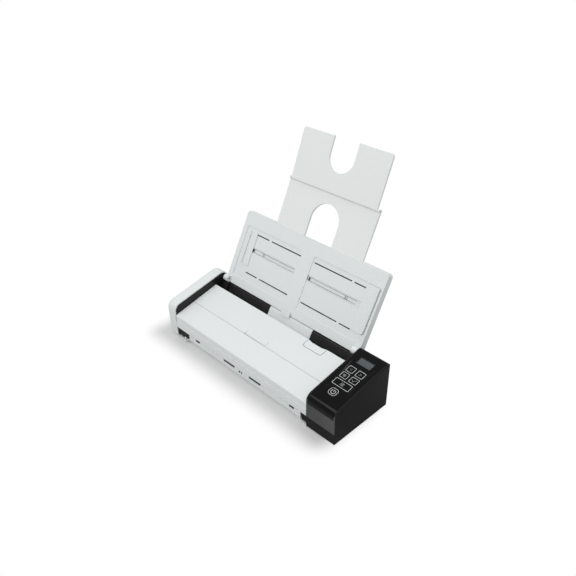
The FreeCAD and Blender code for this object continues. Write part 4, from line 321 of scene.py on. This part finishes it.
def place_piece(name, mesh_maker, body, finish, stands_for=()):
    """Makes a piece from a bmesh, gives it a finish and lets it ride on a body."""
    mesh = bpy.data.meshes.new(name)
    work = bmesh.new()
    mesh_maker(work)
    bmesh.ops.remove_doubles(work, verts=work.verts, dist=0.001 * MM)
    bmesh.ops.recalc_face_normals(work, faces=work.faces)
    for face in work.faces:
        face.smooth = True
    work.to_mesh(mesh)
    work.free()
    mesh.set_sharp_from_angle(angle=SMOOTH_BELOW)
    mesh.materials.append(FINISHES[finish])
    piece = bpy.data.objects.new(name, mesh)
    bpy.context.scene.collection.objects.link(piece)
    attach(piece, body)
    if stands_for:
        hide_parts(*stands_for)
    return piece


PANEL_SLOPE = radians(10.1)
BODY_FRONT = -48.5 * MM
CAP_FRONT_HEIGHT = 51.7 * MM
KEY_RISE = 0.2 * MM
COVER_SLOPE = radians(12.5)
COVER_FRONT_HEIGHT = 38.0 * MM
TRAY_SLOPE = radians(60.7)
TRAY_FOOT = (43.8 * MM, 55.4 * MM)


def on_panel(x, y, rise=0.0):
    """Place on the sloping top of the right cap, with x and y in its plane."""
    height = CAP_FRONT_HEIGHT + (y - BODY_FRONT) * sin(PANEL_SLOPE) / cos(PANEL_SLOPE)
    return (Matrix.Translation((x, y, height)) @ Matrix.Rotation(PANEL_SLOPE, 4, "X")
            @ Matrix.Translation((0, 0, rise)))


def on_cover(x, y, rise=0.0):
    """Place on the sloping top of the cover."""
    height = COVER_FRONT_HEIGHT + (y - BODY_FRONT) * sin(COVER_SLOPE) / cos(COVER_SLOPE)
    return (Matrix.Translation((x, y, height)) @ Matrix.Rotation(COVER_SLOPE, 4, "X")
            @ Matrix.Translation((0, 0, rise)))


def on_tray(x, up, rise=0.0):
    """Place on the tray's front face, up metres from its foot."""
    y = TRAY_FOOT[0] + up * cos(TRAY_SLOPE)
    z = TRAY_FOOT[1] + up * sin(TRAY_SLOPE)
    return Matrix.Translation((x, y, z)) @ Matrix.Rotation(TRAY_SLOPE, 4, "X") @ Matrix.Translation((0, 0, rise))


def block(work, x0, x1, y0, y1, z0, z1, place=None):
    """Plain block between two corners."""
    verts = bmesh.ops.create_cube(work, size=1.0)["verts"]
    middle = Matrix.Translation(((x0 + x1) / 2, (y0 + y1) / 2, (z0 + z1) / 2))
    size = Matrix.Diagonal((x1 - x0, y1 - y0, z1 - z0, 1.0))
    bmesh.ops.transform(work, matrix=(place or Matrix()) @ middle @ size, verts=verts)


def side_outline(corners, inset, steps=10):
    """Side view as (y, z) points, drawn in by inset. Each corner is (y, z, radius), against the clock."""
    points = []
    for n, (y, z, radius) in enumerate(corners):
        here = Vector((y, z))
        before = (here - Vector(corners[n - 1][:2])).normalized()
        after = (Vector(corners[(n + 1) % len(corners)][:2]) - here).normalized()
        first = Vector((before.y, -before.x))
        second = Vector((after.y, -after.x))
        middle = here - (first + second) / (1 + first.dot(second)) * max(radius, inset)
        start = atan2(first.y, first.x)
        for step in range(steps + 1):
            angle = start + first.angle(second) * step / steps
            points.append(middle + Vector((cos(angle), sin(angle))) * max(radius - inset, 0.0))
    return points


def side_prism(work, corners, x0, x1, inset=0.0):
    """Side view carried across from x0 to x1."""
    rings = [[work.verts.new((x, y, z)) for y, z in side_outline(corners, inset)] for x in (x0, x1)]
    for n in range(len(rings[0])):
        work.faces.new((rings[0][n - 1], rings[0][n], rings[1][n], rings[1][n - 1]))
    for ring in rings:
        work.faces.new(ring)


def rounded_cap(work, corners, outer_x, inner_x, rim, wall, steps=10):
    """Hollow end cap: the side view carried across, its outer rim rounded all the way round."""
    side = 1 if outer_x > inner_x else -1
    shells = []
    for depth in (0.0, wall):
        places = [(inner_x, depth)]
        for step in range(steps + 1):
            angle = pi / 2 * step / steps
            x = outer_x - side * rim + side * (rim - depth) * sin(angle)
            places.append((x, rim - (rim - depth) * cos(angle)))
        rings = [[work.verts.new((x, y, z)) for y, z in side_outline(corners, inset)] for x, inset in places]
        for first, second in zip(rings, rings[1:]):
            for n in range(len(first)):
                work.faces.new((first[n - 1], first[n], second[n], second[n - 1]))
        work.faces.new(rings[-1])
        shells.append(rings[0])
    outer, inner = shells
    for n in range(len(outer)):
        work.faces.new((outer[n - 1], outer[n], inner[n], inner[n - 1]))


def turned_corner(place, corner, first, second, old, new):
    """Place on an edge of radius old, moved so that the edge has radius new. All are in one plane."""
    reach = (first + second) / (1 + first.dot(second))
    from_middle = place - (corner - reach * old)
    slack = 0.001 * MM
    past_first = from_middle.dot(second - first * first.dot(second)) > -slack
    past_second = from_middle.dot(first - second * first.dot(second)) > -slack
    if not (past_first and past_second) or from_middle.length < slack:
        return place
    return place + (reach - from_middle.normalized()) * (old - new)


def reshaped(work, node, moved):
    """Copy of a solid with each of its corners moved by a rule."""
    work.from_mesh(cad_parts[node].data)
    bmesh.ops.remove_doubles(work, verts=work.verts, dist=0.001 * MM)
    for vert in work.verts:
        vert.co = moved(vert.co)


def rounded_plate(work, width, height, corner, thickness, place):
    """Thin plate with rounded corners, drawn flat and then put in place."""
    made = bmesh.ops.create_grid(work, x_segments=1, y_segments=1, size=0.5)
    verts = made["verts"]
    bmesh.ops.scale(work, vec=(width, height, 1.0), verts=verts)
    if corner:
        made = bmesh.ops.bevel(work, geom=verts, offset=corner, offset_type="OFFSET", segments=5, profile=0.5,
                               affect="VERTICES", material=-1)
        verts = made["verts"]
    faces = list({face for vert in verts for face in vert.link_faces})
    made = bmesh.ops.extrude_face_region(work, geom=faces)
    raised = [item for item in made["geom"] if isinstance(item, bmesh.types.BMVert)]
    bmesh.ops.translate(work, vec=(0, 0, thickness), verts=raised)
    bmesh.ops.transform(work, matrix=place, verts=list(set(verts) | set(raised)))


def outline_ring(work, width, height, corner, line, thickness, place):
    """Printed outline of a rounded rectangle."""
    made = bmesh.ops.create_grid(work, x_segments=1, y_segments=1, size=0.5)
    verts = made["verts"]
    bmesh.ops.scale(work, vec=(width, height, 1.0), verts=verts)
    made = bmesh.ops.bevel(work, geom=verts, offset=corner, offset_type="OFFSET", segments=5, profile=0.5,
                           affect="VERTICES", material=-1)
    faces = list({face for vert in made["verts"] for face in vert.link_faces})
    rim = bmesh.ops.inset_region(work, faces=faces, thickness=line, use_even_offset=True, use_boundary=True)["faces"]
    bmesh.ops.delete(work, geom=[face for face in faces if face.is_valid and face not in rim], context="FACES")
    made = bmesh.ops.extrude_face_region(work, geom=rim)
    raised = [item for item in made["geom"] if isinstance(item, bmesh.types.BMVert)]
    bmesh.ops.translate(work, vec=(0, 0, thickness), verts=raised)
    all_verts = {vert for face in rim for vert in face.verts} | set(raised)
    bmesh.ops.transform(work, matrix=place, verts=list(all_verts))


def stroke_print(name, strokes, width, height, place, body, finish):
    """Printed lines, each a list of points or a closed loop, laid flat in place."""
    curve = bpy.data.curves.new(name, "CURVE")
    curve.dimensions = "3D"
    curve.bevel_depth = width / 2
    curve.bevel_resolution = 2
    curve.use_fill_caps = True
    for points, closed in strokes:
        spline = curve.splines.new("POLY")
        spline.points.add(len(points) - 1)
        spline.use_cyclic_u = closed
        for point, (x, y) in zip(spline.points, points):
            point.co = (x, y, 0, 1)
    drawing = bpy.data.objects.new(name + "_drawing", curve)
    bpy.context.scene.collection.objects.link(drawing)
    bpy.context.view_layer.update()
    mesh = bpy.data.meshes.new_from_object(drawing.evaluated_get(bpy.context.evaluated_depsgraph_get()))
    bpy.data.objects.remove(drawing)
    mesh.name = name
    mesh.transform(place @ Matrix.Diagonal((1, 1, 2 * height / width, 1)))
    mesh.materials.clear()
    mesh.materials.append(FINISHES[finish])
    piece = bpy.data.objects.new(name, mesh)
    bpy.context.scene.collection.objects.link(piece)
    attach(piece, body)
    return piece


class SCANNER_OT_finishes(bpy.types.Operator):
    """Makes all the finishes of the scanner"""

    bl_idname = "scanner.finishes"
    bl_label = "Finishes"

    def execute(self, context):
        colours = context.scene.scanner_colours
        sizes = context.scene.scanner_sizes
        white, black, gloss = tuple(colours.white), tuple(colours.black), tuple(colours.gloss)
        edge = sizes.edge
        FINISHES["white"] = moulded("White shell", white, 0.42, sizes.grain, 0.02 * MM, edge, 0.012)
        FINISHES["white_cover"] = moulded("White cover", white, 0.38, sizes.grain, 0.015 * MM, edge, 0.012)
        FINISHES["tray"] = moulded("White tray", tuple(colours.tray), 0.45, sizes.grain, 0.02 * MM, edge, 0.012)
        FINISHES["plate"] = moulded("White plate", tuple(colours.plate), 0.40, sizes.grain, 0.01 * MM, edge, 0.01)
        FINISHES["black_cap"] = textured_cap("Black cap", black, sizes.coarse_grain, edge)
        FINISHES["side_plate"] = moulded("Black side plate", black, 0.42, sizes.grain, 0.02 * MM, edge, 0.15, 0.3)
        FINISHES["guide"] = moulded("Black guide", tuple(colours.guide), 0.40, sizes.coarse_grain, 0.06 * MM, edge, 0.2,
                                    0.3)
        FINISHES["gloss"] = polished("Glossy panel", gloss, 0.14, edge)
        FINISHES["key"] = polished("Key face", gloss, 0.16, 0.1 * MM)
        FINISHES["print"] = moulded("Key print", tuple(colours.print_light), 0.5, 0.2 * MM, 0.004 * MM, 0.0, 0.04)
        FINISHES["dim_print"] = moulded(
            "Dim key print", tuple(c * 0.4 for c in colours.print_light), 0.5, 0.2 * MM, 0.004 * MM, 0.0, 0.1)
        FINISHES["display"] = display_face("Display face", tuple(colours.display))
        FINISHES["window"] = clear_pane("Display window", (0.03, 0.035, 0.04), 0.22)
        FINISHES["scan_glass"] = clear_pane("Scan glass", (0.75, 0.88, 0.85), 0.32)
        FINISHES["tyre"] = rubber("Roller rubber", (0.022, 0.022, 0.023), 0.8 * MM)
        FINISHES["foot"] = rubber("Foot rubber", (0.03, 0.03, 0.03))
        FINISHES["pad"] = rubber("Pad rubber", (0.10, 0.075, 0.05))
        FINISHES["steel"] = ground_steel("Ground steel", (0.62, 0.62, 0.61))
        FINISHES["zinc"] = ground_steel("Zinc plated can", (0.45, 0.45, 0.46), 0.34)
        FINISHES["acetal"] = moulded("Gear acetal", (0.70, 0.68, 0.60), 0.35, 0.6 * MM, 0.01 * MM, 0.1 * MM, 0.05)
        FINISHES["dark"] = moulded("Dark housing", (0.008, 0.008, 0.008), 0.5, sizes.coarse_grain, 0.03 * MM, edge, 0.15,
                                   0.2)
        # Near-black and grey of painted shade, laid as strips in gaps, slot lines and along recess edges.
        FINISHES["gap"] = moulded("Gap shade", (0.035, 0.036, 0.036), 0.6, sizes.grain, 0.01 * MM, 0.0, 0.1, 0.2)
        FINISHES["soft_gap"] = moulded("Soft gap shade", (0.27, 0.28, 0.28), 0.6, sizes.grain, 0.01 * MM, 0.0, 0.1, 0.2)
        FINISHES["board"] = circuit("Green board", (0.02, 0.12, 0.05))
        return {"FINISHED"}


def textured_cap(name, colour, grain, edge):
    """Black cap: spark-eroded grain, with a smoother and glossier front face whose upper part is painted lighter as a
    painted sheen.
    """
    surface = Surface(name)
    parts = surface.add("ShaderNodeSeparateXYZ", None, {"Vector": surface.place})
    fine = surface.noise(grain, detail=3.0)
    broad = surface.noise(25 * MM, detail=3.0)
    front = (parts["Y"] < BODY_FRONT + 0.6 * MM) * (parts["Z"] > 19 * MM)
    shade = surface.mix(fine * 0.5 + broad * 0.5, colour4(colour, 0.8), colour4(colour, 1.25))
    # The front face above 19 mm is mixed halfway to a lighter grey, a painted sheen; its lower roughness and coat are
    # real gloss.
    base = surface.mix(front * 0.5, shade, (0.07, 0.07, 0.071, 1))
    rough = 0.55 + fine * 0.1 + broad * 0.05 - front * 0.2
    return surface.finish(Base_Color=base, Roughness=rough, Specular_IOR_Level=0.18, Coat_Weight=front * 0.9,
                          Coat_Roughness=0.3,
                          Normal=surface.bump(fine, 0.05 * MM, 0.7, edge))


def display_face(name, colour):
    """Liquid crystal face: fine cell lines over a grey field."""
    surface = Surface(name)
    cells = surface.add("ShaderNodeTexBrick", {"offset": 0.0}, {
        "Vector": surface.place, "Scale": 1.0 / (0.9 * MM), "Mortar Size": 0.08, "Brick Width": 1.0,
        "Row Height": 1.0})["Fac"]
    haze = surface.noise(5 * MM, detail=2.0)
    base = surface.mix(cells * 0.6 + haze * 0.4, colour4(colour, 1.1), colour4(colour, 0.6))
    return surface.finish(Base_Color=base, Roughness=0.25 + haze * 0.1, Coat_Weight=0.3,
                          Normal=surface.bump(cells, 0.01 * MM, 0.3))


CAP_WALL = 1.7 * MM
LEFT_RIM = 9.0 * MM
LEFT_CAP_SIDE = (
    (BODY_FRONT, 1.5 * MM, 4.0 * MM),
    (-BODY_FRONT, 1.5 * MM, 4.0 * MM),
    (-BODY_FRONT, 71.6 * MM, 10.0 * MM),
    (BODY_FRONT, 52.7 * MM, 12.0 * MM),
)
REAR_TOP_RADII = (10.5 * MM, 5.5 * MM)
REAR_SIDE_RADII = (2.0 * MM, 4.0 * MM)
APRON_Y = (-46.4 * MM, -45.8 * MM)
APRON_Z = (7.6 * MM, 19.1 * MM)
FILLER_SIDE = (
    (29.0 * MM, 40.0 * MM, 0.5 * MM),
    (46.5 * MM, 40.0 * MM, 0.5 * MM),
    (46.5 * MM, 55.4 * MM, 0.5 * MM),
    (40.0 * MM, 55.4 * MM, 2.0 * MM),
)


class SCANNER_OT_body(bpy.types.Operator):
    """Finishes the base, the caps and the fixed guides"""

    bl_idname = "scanner.body"
    bl_label = "Base and caps"

    def execute(self, context):
        dress("white", "base_shell", "left_end_cap", "pick_cover")
        dress("black_cap", "right_end_cap")
        dress("side_plate", "left_side_plate", "right_side_plate")
        dress("gloss", "control_panel")
        dress("guide", "paper_bed", "rear_guide")
        dress("foot", "rubber_feet")
        dress("steel", "base_screws", "cover_hinge_pins", "tray_hinge_pins")
        dress("zinc", "usb_socket")
        dress("dark", "dc_socket")
        self.left_end()
        self.right_end()
        self.gaps()
        return {"FINISHED"}

    def left_end(self):
        """The left cap with its rounded rim, and the black wall inside it."""
        x0, x1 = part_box("left_end_cap")[0][0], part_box("left_end_cap")[1][0]
        wall_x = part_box("left_side_plate")[0][0]
        place_piece("left_cap", lambda work: rounded_cap(work, LEFT_CAP_SIDE, x0, x1, LEFT_RIM, CAP_WALL),
                    "base", "white", ["left_end_cap"])
        place_piece("left_wall", lambda work: side_prism(work, LEFT_CAP_SIDE, wall_x, x1, CAP_WALL + 0.1 * MM),
                    "base", "side_plate", ["left_side_plate"])

    def right_end(self):
        """The right cap and its glossy panel, with the rear edges as tight as in the picture."""
        cap_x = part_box("right_end_cap")[1][0]
        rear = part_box("right_end_cap")[1][1]
        top = CAP_FRONT_HEIGHT + (rear - BODY_FRONT) * sin(PANEL_SLOPE) / cos(PANEL_SLOPE)
        up = Vector((-sin(PANEL_SLOPE), cos(PANEL_SLOPE)))

        def moved(place):
            x, y, z = place
            y, z = turned_corner(Vector((y, z)), Vector((rear, top)), up, Vector((1, 0)), *REAR_TOP_RADII)
            x, y = turned_corner(Vector((x, y)), Vector((cap_x, rear)), Vector((1, 0)), Vector((0, 1)),
                                 *REAR_SIDE_RADII)
            return Vector((x, y, z))

        place_piece("right_cap", lambda work: reshaped(work, "right_end_cap", moved), "base",
                    "black_cap", ["right_end_cap"])
        place_piece("panel_face", lambda work: reshaped(work, "control_panel", moved), "base",
                    "gloss", ["control_panel"])

    def gaps(self):
        """Black plates that close the front notches and the gap behind the cover's left end, and near-black plates of
        painted shade inside the front slot and the front windows.
        """
        bay_left, bay_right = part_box("left_end_cap")[1][0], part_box("right_end_cap")[0][0]

        def aprons(work):
            for x0, x1 in ((bay_left + 0.4 * MM, bay_left + 27.2 * MM), (bay_right - 9.9 * MM, bay_right - 0.6 * MM)):
                block(work, x0, x1, *APRON_Y, *APRON_Z)

        def filler(work):
            side_prism(work, FILLER_SIDE, bay_left + 0.2 * MM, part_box("rear_guide")[0][0] - 0.1 * MM)

        # Near-black blocks inside the small front slot: painted shade.
        def slot_painted_shade(work):
            for x0, x1 in ((-6.3, -4.0), (-2.2, 0.5)):
                block(work, x0 * MM, x1 * MM, -47.9 * MM, -47.6 * MM, 13.3 * MM, 16.7 * MM)

        # Near-black plates just behind the front windows: painted shade of the dim inside.
        def window_shades(work):
            for x0, x1 in ((-94.8, -87.2), (-35.8, -14.2), (13.2, 35.8), (85.2, 93.8)):
                block(work, x0 * MM, x1 * MM, -47.4 * MM, -47.2 * MM, 14.6 * MM, 18.1 * MM)

        place_piece("front_slot_shades", slot_painted_shade, "base", "gap")
        place_piece("window_shades", window_shades, "base", "gap")
        place_piece("notch_aprons", aprons, "cover", "dark")
        place_piece("rear_filler", filler, "base", "guide")


class SCANNER_OT_works(bpy.types.Operator):
    """Finishes the rollers, gears, boards and scan units inside"""

    bl_idname = "scanner.works"
    bl_label = "Rollers and inner works"

    def execute(self, context):
        dress("tyre", "feed_tyres", "drive_tyres", "exit_tyres")
        dress("steel", "feed_shaft", "drive_shaft", "exit_shaft", "gear_posts")
        dress("acetal", "feed_gear", "drive_gear", "exit_gear", "large_idler", "small_idler", "motor_pinion",
              "guide_pinion")
        dress("dark", "roller_bushes", "exit_pinch_rollers", "drive_pinch_rollers", "lower_scan_unit",
              "upper_scan_unit")
        dress("scan_glass", "lower_scan_glass", "upper_scan_glass")
        dress("zinc", "drive_motor")
        dress("board", "main_board", "panel_board")
        dress("pad", "separation_pad")
        return {"FINISHED"}


class SCANNER_OT_cover(bpy.types.Operator):
    """Finishes the hinged cover with its release button"""

    bl_idname = "scanner.cover"
    bl_label = "Cover"

    def execute(self, context):
        dress("white_cover", "cover_front_shell", "cover_rear_panel", "release_button")
        dress("guide", "cover_inner_guide")
        dress("side_plate", "cover_hinge_arms", "cover_latch")
        turn = [(3 - 3 * cos(radians(a)), 3 - 3 * sin(radians(a))) for a in range(0, 91, 15)]
        left = [(47 + x, 14.5 + y) for x, y in turn]
        right = [(78 - x, 14.5 + y) for x, y in reversed(turn)]
        # Dark and grey lines of painted shade in the button's gap, the cover's seam and along the finger recess's edge.
        self.line("button_gap", [(47.0, 25.2)] + left + right + [(78.0, 25.2)], 0.5 * MM, "gap")
        self.line("cover_seam_gap", [(-137.2, -15.15), (113.9, -15.15)], 0.35 * MM, "soft_gap")
        self.line("recess_edge", [(-30.6, -14.6), (8.6, -14.6), (8.6, -7.0)], 0.4 * MM, "soft_gap")
        return {"FINISHED"}

    def line(self, name, points, width, finish):
        """Fine line of painted gap shade drawn on the cover's sloping top."""
        strokes = [([(x * MM, y * MM / cos(COVER_SLOPE)) for x, y in points], False)]
        stroke_print(name, strokes, width, 0.03 * MM, on_cover(0, 0), "cover", finish)


LINE_SLOTS_UP = (23.5, 78.5)
RACK_UP = (54.2 * MM, 58.8 * MM)
RACK_ENDS_X = ((-105.5, -102.5), (2.5, 4.5))
RACK_MARKS_X = ((-84.0, -83.2), (64.5, 65.3), (67.5, 68.0))
RACK_SPANS_X = ((-102.5, -21.0), (4.5, 82.0))
LINE_SLOTS_X = ((-105.0, -82.0), (-77.0, -21.0), (3.0, 66.0), (70.0, 88.0))


class SCANNER_OT_tray(bpy.types.Operator):
    """Finishes the paper tray, its guides and the extension plates"""

    bl_idname = "scanner.tray"
    bl_label = "Paper tray"

    def execute(self, context):
        dress("tray", "tray_frame", "guide_left", "guide_right")
        dress("plate", "extension_lower", "extension_upper")
        dress("steel", "extension_pins")

        # Near-black strips laid in each tray slot line: painted shade.
        def painted_slot_shade(work):
            for up in LINE_SLOTS_UP:
                for x0, x1 in LINE_SLOTS_X:
                    block(work, (x0 + 0.1) * MM, (x1 - 0.1) * MM, (up - 0.7) * MM, (up + 0.7) * MM, -1.4 * MM,
                          -1.15 * MM, on_tray(0, 0))

        # Near-black blocks at the ends of the rack channel: painted shade.
        def rack_ends(work):
            for x0, x1 in RACK_ENDS_X:
                block(work, x0 * MM, x1 * MM, *RACK_UP, -0.95 * MM, -0.8 * MM, on_tray(0, 0))

        # Grey blocks and lines along the rack channel's edges: painted shade.
        def rack_marks(work):
            for x0, x1 in RACK_MARKS_X:
                block(work, x0 * MM, x1 * MM, *RACK_UP, -0.95 * MM, -0.8 * MM, on_tray(0, 0))
            for x0, x1 in RACK_SPANS_X:
                for up in RACK_UP:
                    block(work, x0 * MM, x1 * MM, up - 0.2 * MM, up + 0.2 * MM, -0.95 * MM, -0.8 * MM, on_tray(0, 0))

        place_piece("line_slots", painted_slot_shade, "tray", "gap")
        place_piece("rack_ends", rack_ends, "tray", "gap")
        place_piece("rack_marks", rack_marks, "tray", "soft_gap")
        return {"FINISHED"}


KEY_PLANS = {
    "left_key": (124.3, 134.8, 6.8, 16.5, 1.2),
    "right_key": (138.2, 149.2, 6.8, 16.5, 1.2),
    "mode_key": (124.3, 134.8, -4.2, 4.8, 1.2),
    "confirm_key": (138.2, 149.2, -4.2, 4.8, 1.2),
    "start_key": (124.0, 148.8, -16.6, -6.6, 1.2),
    "power_key": (129.7, 141.3, -31.0, -20.3, 3.6),
}


def key_symbols():
    """Drawings on the keys, in millimetres from each key's middle, with a bright or a dim print."""
    arc = [(2.9 * cos(radians(a)), 2.9 * sin(radians(a))) for a in range(125, 416, 10)]
    sheet = [(-2.4, -1.6), (1.8, -2.2), (2.6, 1.6), (-1.6, 2.3)]
    lines = [[(-1.7, 1.2 - 0.9 * n), (1.9, 0.8 - 0.9 * n)] for n in range(4)]
    blob = [(1.5 * cos(radians(a)), 1.2 * sin(radians(a))) for a in range(0, 360, 20)]
    return {
        "left_key": (0.7, "dim_print", [([(1.4, 1.6), (-1.4, 0.0), (1.4, -1.6)], False)]),
        "right_key": (0.7, "dim_print", [([(-1.4, 1.6), (1.4, 0.0), (-1.4, -1.6)], False)]),
        "mode_key": (1.0, "dim_print", [(blob, True), ([(-2.4, 1.5), (-0.4, 0.4), (1.2, -1.6)], False)]),
        "confirm_key": (0.8, "dim_print", [([(-2.6, 0.6), (-0.9, -1.7), (2.8, 1.9)], False)]),
        "start_key": (0.55, "dim_print", [(sheet, True)] + [(line, False) for line in lines]),
        "power_key": (0.8, "print", [(arc, False), ([(0.0, 0.2), (0.0, 3.3)], False)]),
    }


class SCANNER_OT_keys(bpy.types.Operator):
    """Finishes the keys and prints their outlines and symbols"""

    bl_idname = "scanner.keys"
    bl_label = "Keys and prints"

    def execute(self, context):
        sizes = context.scene.scanner_sizes
        symbols = key_symbols()
        for key, (x0, x1, y0, y1, corner) in KEY_PLANS.items():
            dress("key", key)
            middle = on_panel((x0 + x1) / 2 * MM, (y0 + y1) / 2 * MM, KEY_RISE)
            width = (x1 - x0) * MM
            length = (y1 - y0) * MM / cos(PANEL_SLOPE)

            def ring(work, size=(width, length), corner=corner, place=middle):
                outline_ring(work, size[0] - 0.3 * MM, size[1] - 0.3 * MM, corner * MM, sizes.print_width,
                             sizes.print_height, place)

            place_piece(key + "_outline", ring, key, "print")
            line, finish, strokes = symbols[key]
            strokes = [([(x * MM, y * MM) for x, y in points], closed) for points, closed in strokes]
            stroke_print(key + "_symbol", strokes, line * MM, sizes.print_height, middle, key, finish)
        return {"FINISHED"}


class SCANNER_OT_display(bpy.types.Operator):
    """Finishes the display and its window"""

    bl_idname = "scanner.display"
    bl_label = "Display"

    def execute(self, context):
        dress("display", "lcd_module")
        dress("window", "lcd_window")
        return {"FINISHED"}


# Box round the body, set toward the front left: inside it the camera sees mostly the lit floor with its real shadow,
# outside it plain white, so the box paints where the shadow shows.
SHADE_MIDDLE = (-14 * MM, -14 * MM, 0)
SHADE_HALF = (148 * MM, 38 * MM, 1)
SHADE_REACH = 36 * MM


class SCANNER_OT_studio(bpy.types.Operator):
    """Makes the floor, the lamps, the room's light and the camera"""

    bl_idname = "scanner.studio"
    bl_label = "Studio"

    def execute(self, context):
        studio = context.scene.scanner_studio
        scene = context.scene
        scene.view_settings.view_transform = "Standard"
        self.floor(scene)
        self.room(scene, studio)
        self.lamp("main_lamp", (0.35, 0.55, 1.25), 0.9, studio.key_light)
        self.lamp("fill_lamp", (-0.25, -0.85, 1.25), 1.0, studio.fill_light)
        self.camera(scene, studio)
        return {"FINISHED"}

    def floor(self, scene):
        mesh = bpy.data.meshes.new("floor")
        work = bmesh.new()
        bmesh.ops.create_circle(work, cap_ends=True, radius=6.0, segments=96)
        work.to_mesh(mesh)
        work.free()
        surface = Surface("Pale floor")
        grain = surface.noise(4 * MM, detail=2.0)
        base = surface.mix(grain, (0.60, 0.60, 0.60, 1), (0.62, 0.62, 0.62, 1))
        rays = surface.add("ShaderNodeLightPath")
        away = surface.place
        for operation, value in (("SUBTRACT", SHADE_MIDDLE), ("ABSOLUTE", (0, 0, 0)), ("SUBTRACT", SHADE_HALF),
                                 ("MAXIMUM", (0, 0, 0)), ("LENGTH", (0, 0, 0))):
            away = surface.add("ShaderNodeVectorMath", {"operation": operation}, {0: away, 1: value})
            away = away["Value"] if operation == "LENGTH" else away["Vector"]
        far = surface.add("ShaderNodeMapRange", {"interpolation_type": "SMOOTHSTEP"}, {
            "Value": away, "From Min": 0.0, "From Max": SHADE_REACH, "To Min": 0.2, "To Max": 1.0})["Result"]
        mat = surface.add("ShaderNodeBsdfPrincipled", None, {"Base Color": base, "Roughness": 0.9})["BSDF"]
        glow = surface.add("ShaderNodeEmission", None, {"Color": (1, 1, 1, 1), "Strength": 1.0})["Emission"]
        both = surface.add("ShaderNodeMixShader", None, {0: far * rays["Is Camera Ray"], 1: mat, 2: glow})["Shader"]
        surface.add("ShaderNodeOutputMaterial", None, {"Surface": both})
        mesh.materials.append(surface.material)
        piece = bpy.data.objects.new("floor", mesh)
        scene.collection.objects.link(piece)

    def room(self, scene, studio):
        world = bpy.data.worlds.new("Room")
        scene.world = world
        world.use_nodes = True
        tree = world.node_tree
        tree.nodes.clear()
        rays = tree.nodes.new("ShaderNodeLightPath")
        even = tree.nodes.new("ShaderNodeBackground")
        even.inputs["Strength"].default_value = studio.sky
        white = tree.nodes.new("ShaderNodeBackground")
        white.inputs["Strength"].default_value = 1.0
        choice = tree.nodes.new("ShaderNodeMixShader")
        output = tree.nodes.new("ShaderNodeOutputWorld")
        tree.links.new(rays.outputs["Is Camera Ray"], choice.inputs[0])
        tree.links.new(even.outputs[0], choice.inputs[1])
        tree.links.new(white.outputs[0], choice.inputs[2])
        tree.links.new(choice.outputs[0], output.inputs[0])
        for background in (even, white):
            background.inputs["Color"].default_value = (1, 1, 1, 1)

    def lamp(self, name, place, size, power):
        lamp = bpy.data.lights.new(name, "AREA")
        lamp.shape = "DISK"
        lamp.size = size
        lamp.energy = power
        piece = bpy.data.objects.new(name, lamp)
        bpy.context.scene.collection.objects.link(piece)
        piece.location = place
        piece.rotation_euler = (Vector((0, 0, 0.06)) - Vector(place)).to_track_quat("-Z", "Y").to_euler()

    def camera(self, scene, studio):
        data = bpy.data.cameras.new("camera")
        data.sensor_width = 36.0
        data.lens = studio.focal
        data.shift_x = studio.shift_x
        data.shift_y = studio.shift_y
        data.clip_end = 20.0
        back = Vector((sin(studio.azimuth) * cos(studio.elevation), -cos(studio.azimuth) * cos(studio.elevation),
                       sin(studio.elevation)))
        across = Vector((cos(studio.azimuth), sin(studio.azimuth), 0))
        up = back.cross(across)
        right = across * cos(studio.roll) + up * sin(studio.roll)
        top = up * cos(studio.roll) - across * sin(studio.roll)
        piece = bpy.data.objects.new("camera", data)
        scene.collection.objects.link(piece)
        turn = Matrix((right, top, back)).transposed().to_4x4()
        piece.matrix_world = Matrix.Translation(Vector((0, 0, 0.06)) + back * studio.distance) @ turn
        scene.camera = piece


class SCANNER_PT_panel(bpy.types.Panel):
    """Lists the scanner's steps and settings"""

    bl_idname = "SCANNER_PT_panel"
    bl_label = "Document scanner"
    bl_space_type = "VIEW_3D"
    bl_region_type = "UI"
    bl_category = "Scanner"

    def draw(self, context):
        column = self.layout.column()
        for step in STEPS:
            column.operator(step.bl_idname)
        for group in ("scanner_colours", "scanner_sizes", "scanner_studio"):
            settings = getattr(context.scene, group)
            for name in settings.__annotations__:
                column.prop(settings, name)


STEPS = (SCANNER_OT_finishes, SCANNER_OT_body, SCANNER_OT_works, SCANNER_OT_cover, SCANNER_OT_tray,
         SCANNER_OT_keys, SCANNER_OT_display, SCANNER_OT_studio)
GROUPS = (ScannerColours, ScannerSizes, ScannerStudio)


def register():
    for group in GROUPS + STEPS + (SCANNER_PT_panel,):
        bpy.utils.register_class(group)
    bpy.types.Scene.scanner_colours = PointerProperty(type=ScannerColours)
    bpy.types.Scene.scanner_sizes = PointerProperty(type=ScannerSizes)
    bpy.types.Scene.scanner_studio = PointerProperty(type=ScannerStudio)


def unregister():
    del bpy.types.Scene.scanner_studio
    del bpy.types.Scene.scanner_sizes
    del bpy.types.Scene.scanner_colours
    for group in reversed(GROUPS + STEPS + (SCANNER_PT_panel,)):
        bpy.utils.unregister_class(group)


def main():
    """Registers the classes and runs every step."""
    register()
    for step in STEPS:
        family, name = step.bl_idname.split(".")
        getattr(getattr(bpy.ops, family), name)()


if __name__ == "__main__":
    main()
